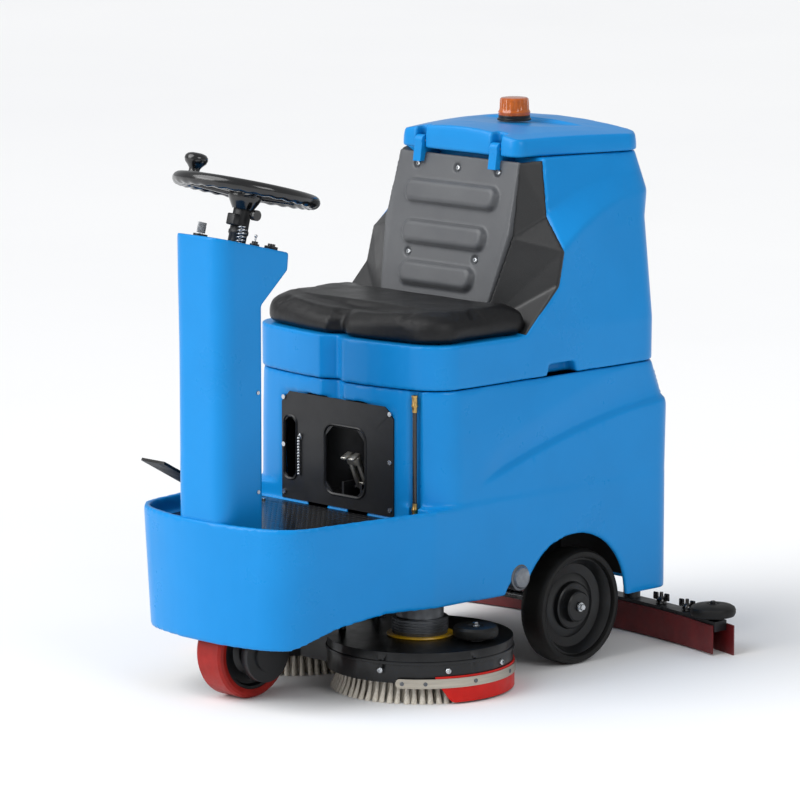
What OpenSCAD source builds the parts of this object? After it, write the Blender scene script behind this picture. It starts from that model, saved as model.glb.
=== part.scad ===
// Ride-on floor scrubber. Millimetres, +Z up, the front faces -Y and the driver's left is +X.
// The origin is on the floor, under the middle of the machine.

/* [Overall] */
// Length over the nose and the rear squeegee blade
overall_l = 1224; // [1100:1:1470]
// Width of the lower body at the rear wheels
body_w = 620; // [560:2:750]
// Height of the joint between lower body and upper tank
split_z = 635; // [560:1:740]
// Height of the top of the recovery tank
tank_top_z = 1087; // [960:1:1300]

/* [Lower body] */
// Wall of the moulded shells
wall = 8; // [5:0.5:12]
// Height of the bumper rim
rim_z = 390; // [370:1:430]
// Height of the platform floor
floor_z = 355; // [335:1:365]
// Width across the front corners of the bumper
nose_w = 458; // [400:2:520]
// Radius of the bowed front of the bumper
nose_bow_r = 560; // [450:10:900]
// Lowest edge of the lower body
body_low_z = 134; // [120:1:145]
// Depth of the seat box, from its front wall to the middle of the rear axle
seat_box_d = 438; // [400:1:480]

/* [Column] */
// Width of the steering column cover
column_w = 154; // [130:2:180]
// Depth of the steering column cover at its base
column_d = 116; // [100:2:140]
// Height of the column cover at its front edge
column_top_z = 982; // [900:1:1050]
// Tilt of the steering column towards the driver
wheel_tilt = 15; // [8:1:35]
// Outer diameter of the steering wheel
wheel_d = 310; // [260:5:360]
// Thickness of the steering wheel rim
wheel_rim_d = 28; // [22:1:32]
// Length of the steering tube, from its pivot to the wheel hub
tube_l = 122; // [110:1:160]

/* [Wheels] */
// Diameter of the rear wheels
rear_wheel_d = 250; // [230:5:260]
// Width of the rear tyres
rear_tyre_w = 66; // [50:1:75]
// Diameter of the rear axle
axle_d = 20; // [16:1:25]
// Diameter of the front wheel
front_wheel_d = 200; // [180:5:220]
// Width of the front tyre
front_tyre_w = 76; // [60:1:90]
// Running clearance of shafts in their bores, on the radius
running = 0.05; // [0.02:0.01:0.1]

/* [Brushes] */
// Diameter over the bristle tips of one disc brush
brush_d = 376; // [330:2:382]
// Distance between the two brush centres
brush_pitch = 384; // [384:1:420]
// Height of the brush block above the floor
bristle_h = 42; // [35:1:46]
// Travel of the brush deck when it is lifted
deck_lift = 30; // [15:1:32]
// Diameter of the guide rollers of the deck
deck_roller_d = 95; // [70:1:110]

/* [Squeegee] */
// Width over the squeegee blades
squeegee_w = 940; // [800:5:1040]
// Radius of the curved squeegee, in plan
squeegee_r = 1600; // [1200:50:2400]
// Height of the squeegee blades
blade_h = 52; // [45:1:60]
// Diameter of the end rollers of the squeegee
squeegee_roller_d = 100; // [70:1:110]

/* [Upper tank] */
// Height of the blue band under the seat cushion
seat_band_h = 95; // [80:1:120]
// Thickness of the seat cushion
cushion_h = 54; // [40:1:80]
// Depth of the tower that holds the recovered water
tower_d = 298; // [260:1:340]
// Height of the beacon over the lid
beacon_h = 50; // [40:1:90]

/* [Hidden] */
$fn = 64;

// Faceting of the children of a hull
hull_fn = 32;
// Gap between pieces that only lie side by side
gap = 0.5;
// Overshoot of a cut through a face
cut = 1;

// Places along the machine
nose_y = -overall_l / 2;
tail_y = overall_l / 2;
axle_y = 238 + (overall_l - 1224) / 2;
axle_z = rear_wheel_d / 2;
front_wheel_y = nose_y + 132;
front_wheel_z = front_wheel_d / 2;
box_front_y = axle_y - seat_box_d;
body_rear_y = axle_y + 292;
body_hw = body_w / 2;
front_hw = nose_w / 2;
box_hw = body_hw - 20;
box_corner_r = 72;

// Chassis
rail_x = 160;
rail_t = 20;
rail_z0 = 262;
rail_z1 = 292;
hanger_t = 8;
pan_low_z = rail_z1 - 0.5;

// Steering
kingpin_d = 40;
fork_t = 12;
motor_x = front_tyre_w / 2 + 10 + fork_t;
crown_z = front_wheel_z + front_wheel_d / 2 + 14;
column_front_y = nose_y + 8;
column_rear_y = column_front_y + column_d;
column_top_rear_y = column_rear_y + 83;
column_top_rear_z = column_top_z - 51;
top_slope = atan((column_top_z - column_top_rear_z) / (column_top_rear_y - column_front_y));
pivot_y = column_front_y + 110;
pivot_z = column_top_z - 40;
tilt_pin_r = 5;
tube_d = 38;
shaft_d = 22;
joint_gap = 16;
shaft_low_y = column_front_y + 59;
shaft_low_z = rail_z1 + 34;
shaft_lean = atan((shaft_low_y - pivot_y) / (pivot_z - shaft_low_z));
knob_d = 50;
knob_r = wheel_d / 2 - 16;
knob_angle = 190;

// Rear wheels
rear_tyre_t = 19;
rear_wheel_out_x = body_hw - 15;
rear_wheel_mid_x = rear_wheel_out_x - rear_tyre_w / 2;
arch_r = rear_wheel_d / 2 + 32;
arch_y = axle_y - 24;
arch_z = axle_z + 7;

// Brush deck
brush_y = axle_y - 386;
brush_x = brush_pitch / 2;
deck_clear = 8;
deck_r = brush_d / 2 + deck_clear;
deck_z0 = 46;
deck_z1 = 110;
deck_wall = 5;
underside_z = deck_z1 + deck_lift + 40;
motor_r = 58;
motor_h = 104;
drive_d = 24;
roller_h = 26;
roller_x = brush_x + 128;
roller_y = brush_y + 36;
roller_z = deck_z1 + 8;

// Squeegee
blade_t = 4;
blade_gap = 44;
squeegee_y = tail_y - blade_t;
frame_z0 = blade_h - 12;
frame_h = 34;
frame_top_z = frame_z0 + frame_h;
port_x = 130;
port_r = 19;
port_h = 42;
lift_pivot_y = axle_y + 190;
lift_pivot_z = 172;
swing_y = squeegee_y - blade_gap / 2 - 44;
squeegee_roller_x = squeegee_w / 2 - 58;

// Upper tank
seat_z = split_z + seat_band_h;
seat_front_y = box_front_y - 4;
tower_back_y = axle_y + 246;
tower_front_y = tower_back_y - tower_d;
tank_hw = body_hw - 14;
tower_top_hw = 246;
panel_low_y = axle_y - 160;
panel_top_y = axle_y - 79;
panel_top_z = tank_top_z - 25;
panel_low_z = seat_z + 34;
lid_pin_y = axle_y - 74;
lid_pin_z = tank_top_z + 17;
lid_front_y = axle_y - 80;
lid_back_y = tower_back_y - 4;
lid_h = 58;
lug_x = 112;
lug_w = 24;
lid_pin_d = 6;
tank_pin_d = 10;
tank_pin_x = -(body_hw + 12);
beacon_y = axle_y + 96;

// Kick panel
panel_hw = 168;
panel_t = 4;
panel_z0 = floor_z + 8;
panel_z1 = split_z - 40;
left_window = [-158, -126, panel_z0 + 46, panel_z0 + 176];
right_window = [-34, 82, panel_z0 + 30, panel_z0 + 172];

// Switches on the column, across it and back from its front edge
key_x = -40;
key_back = 50;
toggle_x = 48;
toggle_back = 122;
horn_x = 52;
horn_back = 166;
toggle_pin_z = 4;
toggle_pin_r = 1.2;
column_low_screw_z = floor_z + 90;
column_high_screw_z = column_top_z - 330;

// Pedal, from its hinge pin
pedal_x0 = -190;
pedal_x1 = -104;
pedal_heel_y = nose_y + 212;
pedal_heel_z = floor_z + 22;
pedal_len = 226;
pedal_slope = 29;
pedal_pin_r = 4;

// Fittings of the lower body
filter_y = axle_y - 188;
filter_z = axle_z + 47;
tank_hinge_ys = [box_front_y + 130, axle_y + 120];
level_r = 7;
level_x = box_hw - 68;
level_y = box_front_y + 6;
battery = [180, 244, 270];
lever_x = 42;
lever_y = box_front_y + 34;
lever_z = panel_z0 + 44;
mat_screws = [for (x = [-190, 190]) [x, box_front_y - 40], for (x = [-150, 150]) [x, column_rear_y + 40]];
panel_screws = [for (z = [panel_z0 + 14, (panel_z0 + panel_z1) / 2, panel_z1 - 14],
    x = [-panel_hw + 8, panel_hw - 8]) [x, z]];

// Lift of the brush deck and screws of the squeegee
actuator_y = brush_y + 60;
actuator_low_z = deck_z1 + 62;
actuator_rod_r = 11;
squeegee_knob_xs = [-320, -230, -70, 230, 320];

// Recovery tank, its drain and the backrest
tank_inner_y = tower_front_y - 40;
drain_x = 170;
drain_z = seat_z - 30;
drain_r = 18;
lid_top_z = tank_top_z + lid_h + 0.5;
wing_top = [203, axle_y - 30, tank_top_z - 8];
wing_kink = [224, axle_y - 38, tank_top_z - 122];
wing_peak = [tank_hw - 12, axle_y - 49, tank_top_z - 188];
wing_mid = [tank_hw - 10, axle_y - 67, tank_top_z - 260];
wing_low = [tank_hw - 10, axle_y - 162, seat_z + 2];
panel_lean = atan((panel_top_y - panel_low_y) / (panel_top_z - panel_low_z));
panel_len = (panel_top_z - panel_low_z) / cos(panel_lean);
rib_h = 50;
rib_rows = [[0.20, 108], [0.47, 122], [0.74, 136]];

function nose_at(x) = nose_y + x * x / (2 * nose_bow_r);
function squeegee_at(x, back) = squeegee_y - back - (squeegee_r - sqrt(squeegee_r * squeegee_r - x * x));

// ---- shared shapes ----

// Four rounded corners of a level slice, for a hull: half widths and ends of the slice
module slice(hw_front, hw_rear, y_front, y_rear, r_front, r_rear, z) {
    for (side = [-1, 1]) {
        translate([side * (hw_front - r_front), y_front + r_front, z - 0.5])
            cylinder(r = r_front, h = 1, $fn = hull_fn);
        translate([side * (hw_rear - r_rear), y_rear - r_rear, z - 0.5])
            cylinder(r = r_rear, h = 1, $fn = hull_fn);
    }
}

// Box between two corners
module block(low, high) {
    translate(low) cube(high - low);
}

// Prism along X of an outline in Y and Z
module prism_x(x0, x1, outline) {
    translate([x0, 0, 0]) rotate([90, 0, 90]) linear_extrude(x1 - x0) polygon(outline);
}

// Cylinder along X
module rod_x(x0, x1, r) {
    translate([x0, 0, 0]) rotate([0, 90, 0]) cylinder(r = r, h = x1 - x0);
}

// Ring along X, centred on the axis
module ring_x(x0, x1, r_out, r_in) {
    difference() {
        rod_x(x0, x1, r_out);
        rod_x(x0 - cut, x1 + cut, r_in);
    }
}

// Frame of the tilted steering wheel: the pivot of the tube, Z along the tube
module on_tube() {
    translate([0, pivot_y, pivot_z]) rotate([-wheel_tilt, 0, 0]) children();
}

// Point on the sloping top of the column cover, Z along its normal
module on_column_top(x, back) {
    translate([x, column_front_y, column_top_z]) rotate([-top_slope, 0, 0]) translate([0, back,
        0]) children();
}

// Screw with a domed head, along Z, its head's underside at the origin
module screw(r, shank) {
    cylinder(r = r, h = r * 0.7);
    translate([0, 0, -shank]) cylinder(r = r / 2, h = shank);
}

// ---- lower body and frame ----

// Outline of the platform tub: the bowed nose, its rounded corners and the sides back into the seat box
function tub_outline(inset) = let (
    hw = front_hw - inset,
    r = 30,
    corner = nose_at(hw - r) + inset,
    front = [for (i = [-4 : 4]) let (x = i * (hw - r) / 4) [x, nose_at(x) + inset]],
    turn = [for (angle = [-60 : 30 : 0]) [hw - r + r * cos(angle), corner + r + r * sin(angle)]])
    concat(front, turn, [[box_hw - 2 - inset, box_front_y + 60], [-box_hw + 2 + inset, box_front_y + 60]],
        [for (i = [len(turn) - 1 : -1 : 0]) [-turn[i][0], turn[i][1]]]);

module tub_solid(inset, low, high) {
    draft = 19 * (rim_z - low) / (rim_z - body_low_z);
    hull() {
        translate([0, 0, low]) linear_extrude(1) polygon(tub_outline(inset + draft));
        translate([0, 0, high - 1]) linear_extrude(1) polygon(tub_outline(inset));
    }
}

module box_solid(inset, low, high) {
    hull() {
        slice(box_hw - inset, body_hw - inset, box_front_y + inset, body_rear_y - inset,
            box_corner_r - inset, 45 - inset, low);
        slice(box_hw - inset, body_hw - inset, box_front_y + inset, body_rear_y + 6 - inset,
            box_corner_r - inset, 45 - inset, min(high, split_z - 95));
        slice(box_hw - inset, body_hw - 12 - inset, box_front_y + inset, axle_y + 248 - inset,
            box_corner_r - inset, 45 - inset, high);
    }
}

// What is cut away from below: brush opening, rear wheel arches and filter notch
module underside_cut() {
    prism_x(-body_w, body_w, [[nose_y + 120, 0], [nose_y + 130, underside_z - 15], [nose_y + 190,
        underside_z],
        [nose_y + 290, underside_z + 5], [arch_y - 100, underside_z], [arch_y - 100, 0]]);
    translate([0, arch_y, arch_z]) rod_x(-body_w, body_w, arch_r);
    translate([0, filter_y, filter_z]) rod_x(-body_w, body_w, 42);
}

module lower_body() {
    color("#3f97d8") difference() {
        union() {
            difference() {
                tub_solid(0, body_low_z, rim_z);
                tub_solid(14, floor_z, rim_z + 40);
            }
            box_solid(0, body_low_z, split_z);
            // hinge ears on the right edge
            for (p = tank_hinge_ys, side = [-1, 1]) translate([0, p + side * 17, 0]) {
                translate([tank_pin_x, 0, split_z]) rotate([90, 0, 0]) cylinder(r = 9, h = 8,
                    center = true);
                prism_y(-4, 4, [[tank_pin_x - 8, split_z - 4], [-body_hw + 30, split_z - 50],
                    [-body_hw + 30, split_z - 2], [tank_pin_x, split_z + 2]]);
            }
        }
        tub_solid(wall, body_low_z - 20, floor_z - wall);
        // space over the floor pan, for the batteries
        difference() {
            box_solid(wall, rail_z1 + wall, split_z + 20);
            // rib behind the groove of the level tube
            block([level_x - 18, box_front_y, floor_z], [level_x + 18, level_y + level_r + 12,
                split_z + 20]);
        }
        // space under the floor pan
        box_solid(wall, body_low_z - 40, pan_low_z);
        underside_cut();
        // window behind the kick panel
        block([-panel_hw + 8, box_front_y - 20, panel_z0 + 20], [panel_hw - 8, box_front_y + 40,
            panel_z1 - 24]);
        // groove of the level tube
        translate([level_x, level_y, floor_z + 6]) cylinder(r = level_r + 4, h = split_z - floor_z);
        // seat of the column cover
        block([-column_w / 2 - gap, column_front_y - gap, floor_z],
            [column_w / 2 + gap, column_rear_y + gap, rim_z + cut]);
        // way for the steering shaft through the platform
        translate([0, shaft_low_y, floor_z - 20]) cylinder(r = 30, h = 40);
        // room for the hinge lugs of the tank, and the bores of their pins
        for (p = tank_hinge_ys) translate([0, p, 0]) {
            block([-body_w, -13, split_z - 12], [-body_hw + 12, 13, split_z + cut + 20]);
            translate([tank_pin_x, 0, split_z]) rotate([90, 0, 0])
                cylinder(r = tank_pin_d / 2 + running, h = 60, center = true);
        }
    }
}

module chassis_frame() {
    color("#26282b") difference() {
        union() {
            for (side = [-1, 1]) {
                block([side * rail_x - rail_t / 2, front_wheel_y + 90, rail_z0],
                    [side * rail_x + rail_t / 2, body_rear_y - 60, rail_z1]);
                // axle hanger
                block([side * (rail_x + 22) - hanger_t / 2, axle_y - 30, axle_z - 22],
                    [side * (rail_x + 22) + hanger_t / 2, axle_y + 30, rail_z1]);
                block([side * rail_x - rail_t / 2, axle_y - 30, rail_z0],
                    [side * (rail_x + 22) + side * hanger_t / 2 + (side < 0 ? 8 : 0), axle_y + 30,
                        rail_z1]);
            }
            block([-rail_x - rail_t / 2, front_wheel_y - 60, rail_z0], [rail_x + rail_t / 2,
                front_wheel_y + 90, rail_z1]);
            for (y = [axle_y + 60, body_rear_y - 90])
                block([-rail_x, y, rail_z0], [rail_x, y + 30, rail_z1]);
            // squeegee pivot lugs
            for (x = [-44, 36])
                block([x, lift_pivot_y - 14, lift_pivot_z - 14], [x + 8, lift_pivot_y + 14, rail_z1]);
            block([-44, lift_pivot_y - 14, rail_z0], [44, lift_pivot_y + 14, rail_z1]);
            block([-20, axle_y + 60, rail_z0], [20, body_rear_y - 90, rail_z1]);
        }
        translate([0, front_wheel_y, 0]) cylinder(r = kingpin_d / 2 + running, h = rail_z1 + 10);
        translate([0, axle_y, axle_z]) rod_x(-body_w, body_w, axle_d / 2);
        translate([0, lift_pivot_y, lift_pivot_z]) rod_x(-60, 60, 6 + running);
    }
}

module platform_mat() {
    color("#1c1d1f") difference() {
        intersection() {
            translate([0, 0, floor_z]) linear_extrude(3) polygon(tub_outline(22));
            block([-body_w, nose_y, floor_z], [body_w, box_front_y - panel_t - 2, floor_z + 3]);
        }
        block([-column_w / 2 - 1, nose_y, floor_z - cut], [column_w / 2 + 1, column_rear_y + 1,
            floor_z + 9]);
        block([pedal_x0 - 2, pedal_heel_y - 26, floor_z - cut], [pedal_x1 + 2, pedal_heel_y + 16,
            floor_z + 9]);
        for (p = mat_screws) translate([p[0], p[1], floor_z - cut]) cylinder(r = 3.2, h = 9);
    }
}

// Opening of the kick panel with cut corners
module panel_window(w, corner) {
    prism_y(box_front_y - 20, box_front_y + 20, [[w[0] + corner, w[2]], [w[1] - corner, w[2]], [w[1],
        w[2] + corner],
        [w[1], w[3] - corner], [w[1] - corner, w[3]], [w[0] + corner, w[3]], [w[0], w[3] - corner],
        [w[0], w[2] + corner]]);
}

// Prism along Y of an outline in X and Z
module prism_y(y0, y1, outline) {
    translate([0, y1, 0]) rotate([90, 0, 0]) linear_extrude(y1 - y0) polygon(outline);
}

module kick_panel() {
    color("#17181a") difference() {
        prism_y(box_front_y - panel_t, box_front_y, [[-panel_hw, panel_z0], [panel_hw, panel_z0],
            [panel_hw, panel_z1 - 24], [panel_hw - 24, panel_z1], [-panel_hw + 24, panel_z1],
            [-panel_hw, panel_z1 - 24]]);
        panel_window(left_window, 10);
        panel_window(right_window, 22);
        for (p = panel_screws) translate([p[0], box_front_y + 10, p[1]]) rotate([90, 0,
            0]) cylinder(r = 2.6, h = 30);
    }
    // ears behind the panel that carry the pin of the lift lever
    color("#17181a") for (side = [-1, 1]) difference() {
        translate([lever_x + side * 27, 0, 0])
            block([-3, box_front_y - 1, panel_z0 + 21], [3, lever_y + 12, lever_z + 12]);
        translate([0, lever_y, lever_z]) rod_x(lever_x - 60, lever_x + 60, 5 + running);
    }
}

module cover_screws() {
    color("#c9ccd0") {
        for (p = mat_screws) translate([p[0], p[1], floor_z + 3]) screw(6, 3);
        for (p = panel_screws) translate([p[0], box_front_y - panel_t, p[1]]) rotate([90, 0, 0]) screw(5,
            panel_t);
        for (z = [column_low_screw_z, column_high_screw_z], side = [-1, 1])
            translate([side * column_w / 2, column_rear_y - 18, z]) rotate([0, side * 90, 0]) screw(4, 3);
    }
}

// ---- steering column ----

function column_outline(t) = [[column_front_y + t, floor_z], [column_front_y - 2 + t, column_top_z - 280],
    [column_front_y - 4 + t, column_top_z - t], [column_top_rear_y - t, column_top_rear_z - t],
    [column_top_rear_y - 8 - t, column_top_rear_z - 38], [column_rear_y - t, column_top_rear_z - 104],
    [column_rear_y - t, floor_z]];

module column_cover() {
    color("#3f97d8") difference() {
        prism_x(-column_w / 2, column_w / 2, column_outline(0));
        difference() {
            translate([0, 0, -cut]) prism_x(-column_w / 2 + 4, column_w / 2 - 4, column_outline(4));
            // ears that carry the pins of the tilting tube
            for (x = [-49, 31]) translate([x, pivot_y, pivot_z]) block([0, -13, -13], [7, 13, 40]);
        }
        // slot for the tilting tube and its spring, and the bores of its pins
        translate([0, pivot_y, 0]) block([-40, -30, pivot_z - 20], [30, 62, column_top_z + 20]);
        translate([0, pivot_y, pivot_z]) rod_x(-60, 60, tilt_pin_r + running);
        on_column_top(key_x, key_back) cylinder(r = 11, h = 60, center = true);
        on_column_top(toggle_x, toggle_back) cylinder(r = 7, h = 60, center = true);
        on_column_top(horn_x, horn_back) cylinder(r = 10, h = 60, center = true);
        for (z = [column_low_screw_z, column_high_screw_z], side = [-1, 1])
            translate([side * column_w / 2, column_rear_y - 18, z]) rotate([0, side * 90, 0])
                cylinder(r = 2.2, h = 20, center = true);
    }
}

module steering_tube() {
    color("#1f2022") on_tube() {
        difference() {
            union() {
                cylinder(r = tube_d / 2, h = tube_l - 34);
                cylinder(r = tube_d / 2 + 6, h = 12);
                rod_x(-48, -15, tilt_pin_r);
                rod_x(15, 37, tilt_pin_r);
                translate([0, 0, tube_l - 60]) cylinder(r = tube_d / 2 + 4, h = 24);
                translate([tube_d / 2 + 2, -9, tube_l - 60]) cube([13, 18, 22]);
            }
            translate([0, 0, -cut]) cylinder(r = shaft_d / 2 + running, h = tube_l);
            translate([0, 0, tube_l - 49]) rotate([0, 90, 0]) translate([0, 0,
                tube_d / 2 + 5]) cylinder(r = 3, h = 20);
        }
    }
}

module column_spring() {
    color("#c9ccd0") on_tube() translate([-tube_d / 2 - 9, -4, 0])
        for (turn = [0 : 10]) translate([0, 0, 14 + turn * 4.6]) rotate_extrude() translate([6.2,
            0]) circle(r = 1.5);
}

module clamp_knob() {
    color("#17181a") on_tube() translate([0, 0, tube_l - 49]) rotate([0, 90, 0]) {
        translate([0, 0, tube_d / 2 + 6]) cylinder(r = 2.9, h = 12);
        translate([0, 0, tube_d / 2 + 15.4]) cylinder(r = 11, h = 12);
    }
}

module steering_shaft() {
    color("#8c9096") translate([0, shaft_low_y, shaft_low_z]) rotate([shaft_lean, 0, 0]) {
        length = (pivot_z - shaft_low_z) / cos(shaft_lean);
        translate([0, 0, joint_gap]) cylinder(r = 9, h = length - 2 * joint_gap);
        for (z = [joint_gap, length - joint_gap - 20]) translate([0, 0, z]) cylinder(r = 14, h = 20);
    }
}

module steering_wheel() {
    color("#17181a") on_tube() {
        translate([0, 0, tube_l]) {
            rotate_extrude() translate([wheel_d / 2 - wheel_rim_d / 2, 0]) circle(r = wheel_rim_d / 2);
            cylinder(r = 38, h = 16, center = true);
            translate([0, 0, -33.5]) cylinder(r = 24, h = 28);
            for (angle = [90, 210, 330]) rotate([0, 0, angle])
                translate([30, -11, -7]) cube([wheel_d / 2 - wheel_rim_d - 26, 22, 9]);
            rotate([0, 0, knob_angle]) translate([knob_r, 0, 4]) cylinder(r = 9, h = 16);
            rotate([0, 0, knob_angle]) translate([knob_r, 0, 4]) cylinder(r = 5, h = 34);
        }
        // upper shaft, turning in the tube
        translate([0, 0, -6]) cylinder(r = shaft_d / 2, h = tube_l);
    }
}

module spinner_knob() {
    color("#101113") on_tube() translate([0, 0, tube_l]) rotate([0, 0, knob_angle]) translate([knob_r, 0,
        20.3])
        difference() {
            union() {
                cylinder(r = 13, h = 10);
                translate([0, 0, 27]) sphere(r = knob_d / 2);
            }
            translate([0, 0, -cut]) cylinder(r = 5 + running, h = 22);
        }
}

// Bodies of the key switch, the toggle switch and the horn button
module dash_switches() {
    color("#8c9096") {
        on_column_top(key_x, key_back) difference() {
            union() {
                cylinder(r = 15, h = 5);
                translate([0, 0, -32]) cylinder(r = 10.9, h = 32.5);
            }
            translate([0, 0, -6]) cylinder(r = 4 + running, h = 20);
        }
        on_column_top(toggle_x, toggle_back) difference() {
            union() {
                cylinder(r = 10, h = 4);
                cylinder(r = 6.5, h = 9);
                translate([0, 0, -25]) cylinder(r = 6.9, h = 25.5);
            }
            translate([0, 0, -4]) cylinder(r = 5, h = 14);
            translate([0, 0, toggle_pin_z]) rod_x(-5.8, 5.8, toggle_pin_r + running);
        }
        on_column_top(horn_x, horn_back) difference() {
            union() {
                cylinder(r = 14, h = 6);
                translate([0, 0, -24]) cylinder(r = 9.9, h = 24.5);
            }
            translate([0, 0, -6]) cylinder(r = 8, h = 20);
        }
    }
}

module ignition_key() {
    color("#101113") on_column_top(key_x, key_back) {
        translate([0, 0, -5.5]) cylinder(r = 4, h = 13);
        translate([-1.6, -11, 7.4]) cube([3.2, 22, 22]);
    }
}

module toggle_lever() {
    color("#17181a") on_column_top(toggle_x, toggle_back) {
        translate([0, 0, toggle_pin_z]) {
            sphere(r = 3.4);
            rod_x(-5.7, 5.7, toggle_pin_r);
            cylinder(r = 2, h = 17);
        }
        translate([0, 0, 20]) sphere(r = 3.4);
    }
}

module horn_button() {
    color("#6e7276") on_column_top(horn_x, horn_back) translate([0, 0, -1]) cylinder(r = 7.9, h = 12);
}

// ---- pedal ----

module pedal_bracket() {
    color("#26282b") {
        for (x = [pedal_x0 - 1, pedal_x1 - 5]) difference() {
            block([x, pedal_heel_y - 14, floor_z], [x + 6, pedal_heel_y + 10, pedal_heel_z + 8]);
            translate([0, pedal_heel_y, pedal_heel_z]) rod_x(pedal_x0 - 20, pedal_x1 + 20,
                pedal_pin_r + running);
        }
        block([pedal_x0 + 5, pedal_heel_y - 14, floor_z], [pedal_x1 - 5, pedal_heel_y + 10, floor_z + 4]);
    }
}

module accelerator_pedal() {
    color("#1c1d1f") translate([0, pedal_heel_y, pedal_heel_z]) {
        rod_x(pedal_x0 - 3, pedal_x1 + 3, pedal_pin_r);
        rotate([-pedal_slope, 0, 0]) {
            block([pedal_x0 + 8, -pedal_len, 4], [pedal_x1 - 8, 6, 10]);
            block([pedal_x0 + 8, -8, -6], [pedal_x1 - 8, 8, 6]);
            for (i = [0 : 6]) translate([0, -pedal_len + 18 + i * 28, 0])
                block([pedal_x0 + 16, 0, 9], [pedal_x1 - 16, 8, 12]);
        }
    }
}

// ---- front drive wheel ----

module steer_fork() {
    color("#2b2d30") difference() {
        union() {
            translate([0, front_wheel_y, crown_z]) cylinder(r = 62, h = fork_t);
            translate([0, front_wheel_y, crown_z]) cylinder(r = kingpin_d / 2, h = rail_z1 + 24 - crown_z);
            for (x = [-motor_x, motor_x - fork_t])
                block([x, front_wheel_y - 34, front_wheel_z - 26], [x + fork_t, front_wheel_y + 34,
                    crown_z + fork_t]);
        }
        translate([0, front_wheel_y, front_wheel_z]) rod_x(-120, 120, 12.5 + running);
    }
}

module drive_motor() {
    color("#1c1d1f") translate([0, front_wheel_y, front_wheel_z]) difference() {
        union() {
            rod_x(motor_x, motor_x + 18, 60);
            rod_x(motor_x + 18, motor_x + 24, 36);
        }
        rod_x(0, motor_x + 14, 13);
    }
}

module front_axle() {
    color("#8c9096") translate([0, front_wheel_y, front_wheel_z])
        rod_x(-motor_x - 6, motor_x + 12, 12.5);
}

module front_tyre() {
    color("#a03024") translate([0, front_wheel_y, front_wheel_z])
        rotate([0, 90, 0]) rotate_extrude() polygon([[front_wheel_d / 2 - 26, -front_tyre_w / 2],
            [front_wheel_d / 2 - 5, -front_tyre_w / 2], [front_wheel_d / 2, -front_tyre_w / 2 + 8],
            [front_wheel_d / 2, front_tyre_w / 2 - 8], [front_wheel_d / 2 - 5, front_tyre_w / 2],
            [front_wheel_d / 2 - 26, front_tyre_w / 2]]);
}

module front_hub() {
    color("#2b2d30") translate([0, front_wheel_y, front_wheel_z]) difference() {
        rod_x(-front_tyre_w / 2, front_tyre_w / 2, front_wheel_d / 2 - 26);
        rod_x(-100, 100, 12.5);
        ring_x(-front_tyre_w / 2 - cut, -front_tyre_w / 2 + 22, front_wheel_d / 2 - 36, 30);
    }
}

// ---- rear wheels ----

module rear_axle() {
    color("#8c9096") translate([0, axle_y, axle_z]) {
        rod_x(-rear_wheel_out_x + 14, rear_wheel_out_x - 14, axle_d / 2);
        for (side = [-1, 1]) translate([side * (rear_wheel_out_x - 12), 0, 0]) rotate([0, side * 90, 0]) {
            translate([0, 0, -2]) cylinder(r = 14, h = 3);
            translate([0, 0, 1]) cylinder(r = 9, h = 7, $fn = 6);
        }
    }
}

module rear_tyre(side) {
    r = rear_wheel_d / 2;
    color("#1a1b1c") translate([side * rear_wheel_mid_x, axle_y, axle_z]) rotate([0, 90,
        0]) rotate_extrude()
        polygon([[r - rear_tyre_t, -rear_tyre_w / 2], [r - 8, -rear_tyre_w / 2], [r, -rear_tyre_w / 2 + 12],
            [r, rear_tyre_w / 2 - 12], [r - 8, rear_tyre_w / 2], [r - rear_tyre_t, rear_tyre_w / 2]]);
}

module rear_hub(side) {
    r = rear_wheel_d / 2 - rear_tyre_t;
    h = rear_tyre_w / 2;
    color("#232426") translate([side * rear_wheel_mid_x, axle_y, axle_z]) rotate([0, side * 90, 0])
        difference() {
            rotate_extrude() polygon([[axle_d / 2 + running, -h + 6], [34, -h + 6], [38, -h + 22],
                [r - 10, -h + 26],
                [r - 10, -h], [r, -h], [r, h - 1], [r - 8, h - 1], [r - 14, -h + 38], [44, -h + 34], [36,
                    h - 12],
                [axle_d / 2 + running, h - 12]]);
            // recess that the axle's washer and bolt stand in
            translate([0, 0, h - 16]) cylinder(r = 15, h = 20);
        }
}

module rear_tyre_left() { rear_tyre(1); }
module rear_tyre_right() { rear_tyre(-1); }
module rear_hub_left() { rear_hub(1); }
module rear_hub_right() { rear_hub(-1); }

// ---- batteries ----

module batteries() {
    color("#1f2022") for (ix = [0, 1], iy = [0, 1])
        translate([ix == 0 ? -battery[0] - 4 : 4, box_front_y + 120 + iy * (battery[1] + 8),
            rail_z1 + wall]) {
            cube(battery);
            for (tx = [40, 140]) translate([tx, 30, battery[2] - 1]) cylinder(r = 9, h = 16);
        }
}

// ---- brush deck ----

module deck_outline() {
    for (side = [-1, 1]) translate([side * brush_x, brush_y]) circle(r = deck_r);
    translate([0, brush_y]) square([brush_pitch, 250], center = true);
}

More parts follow.
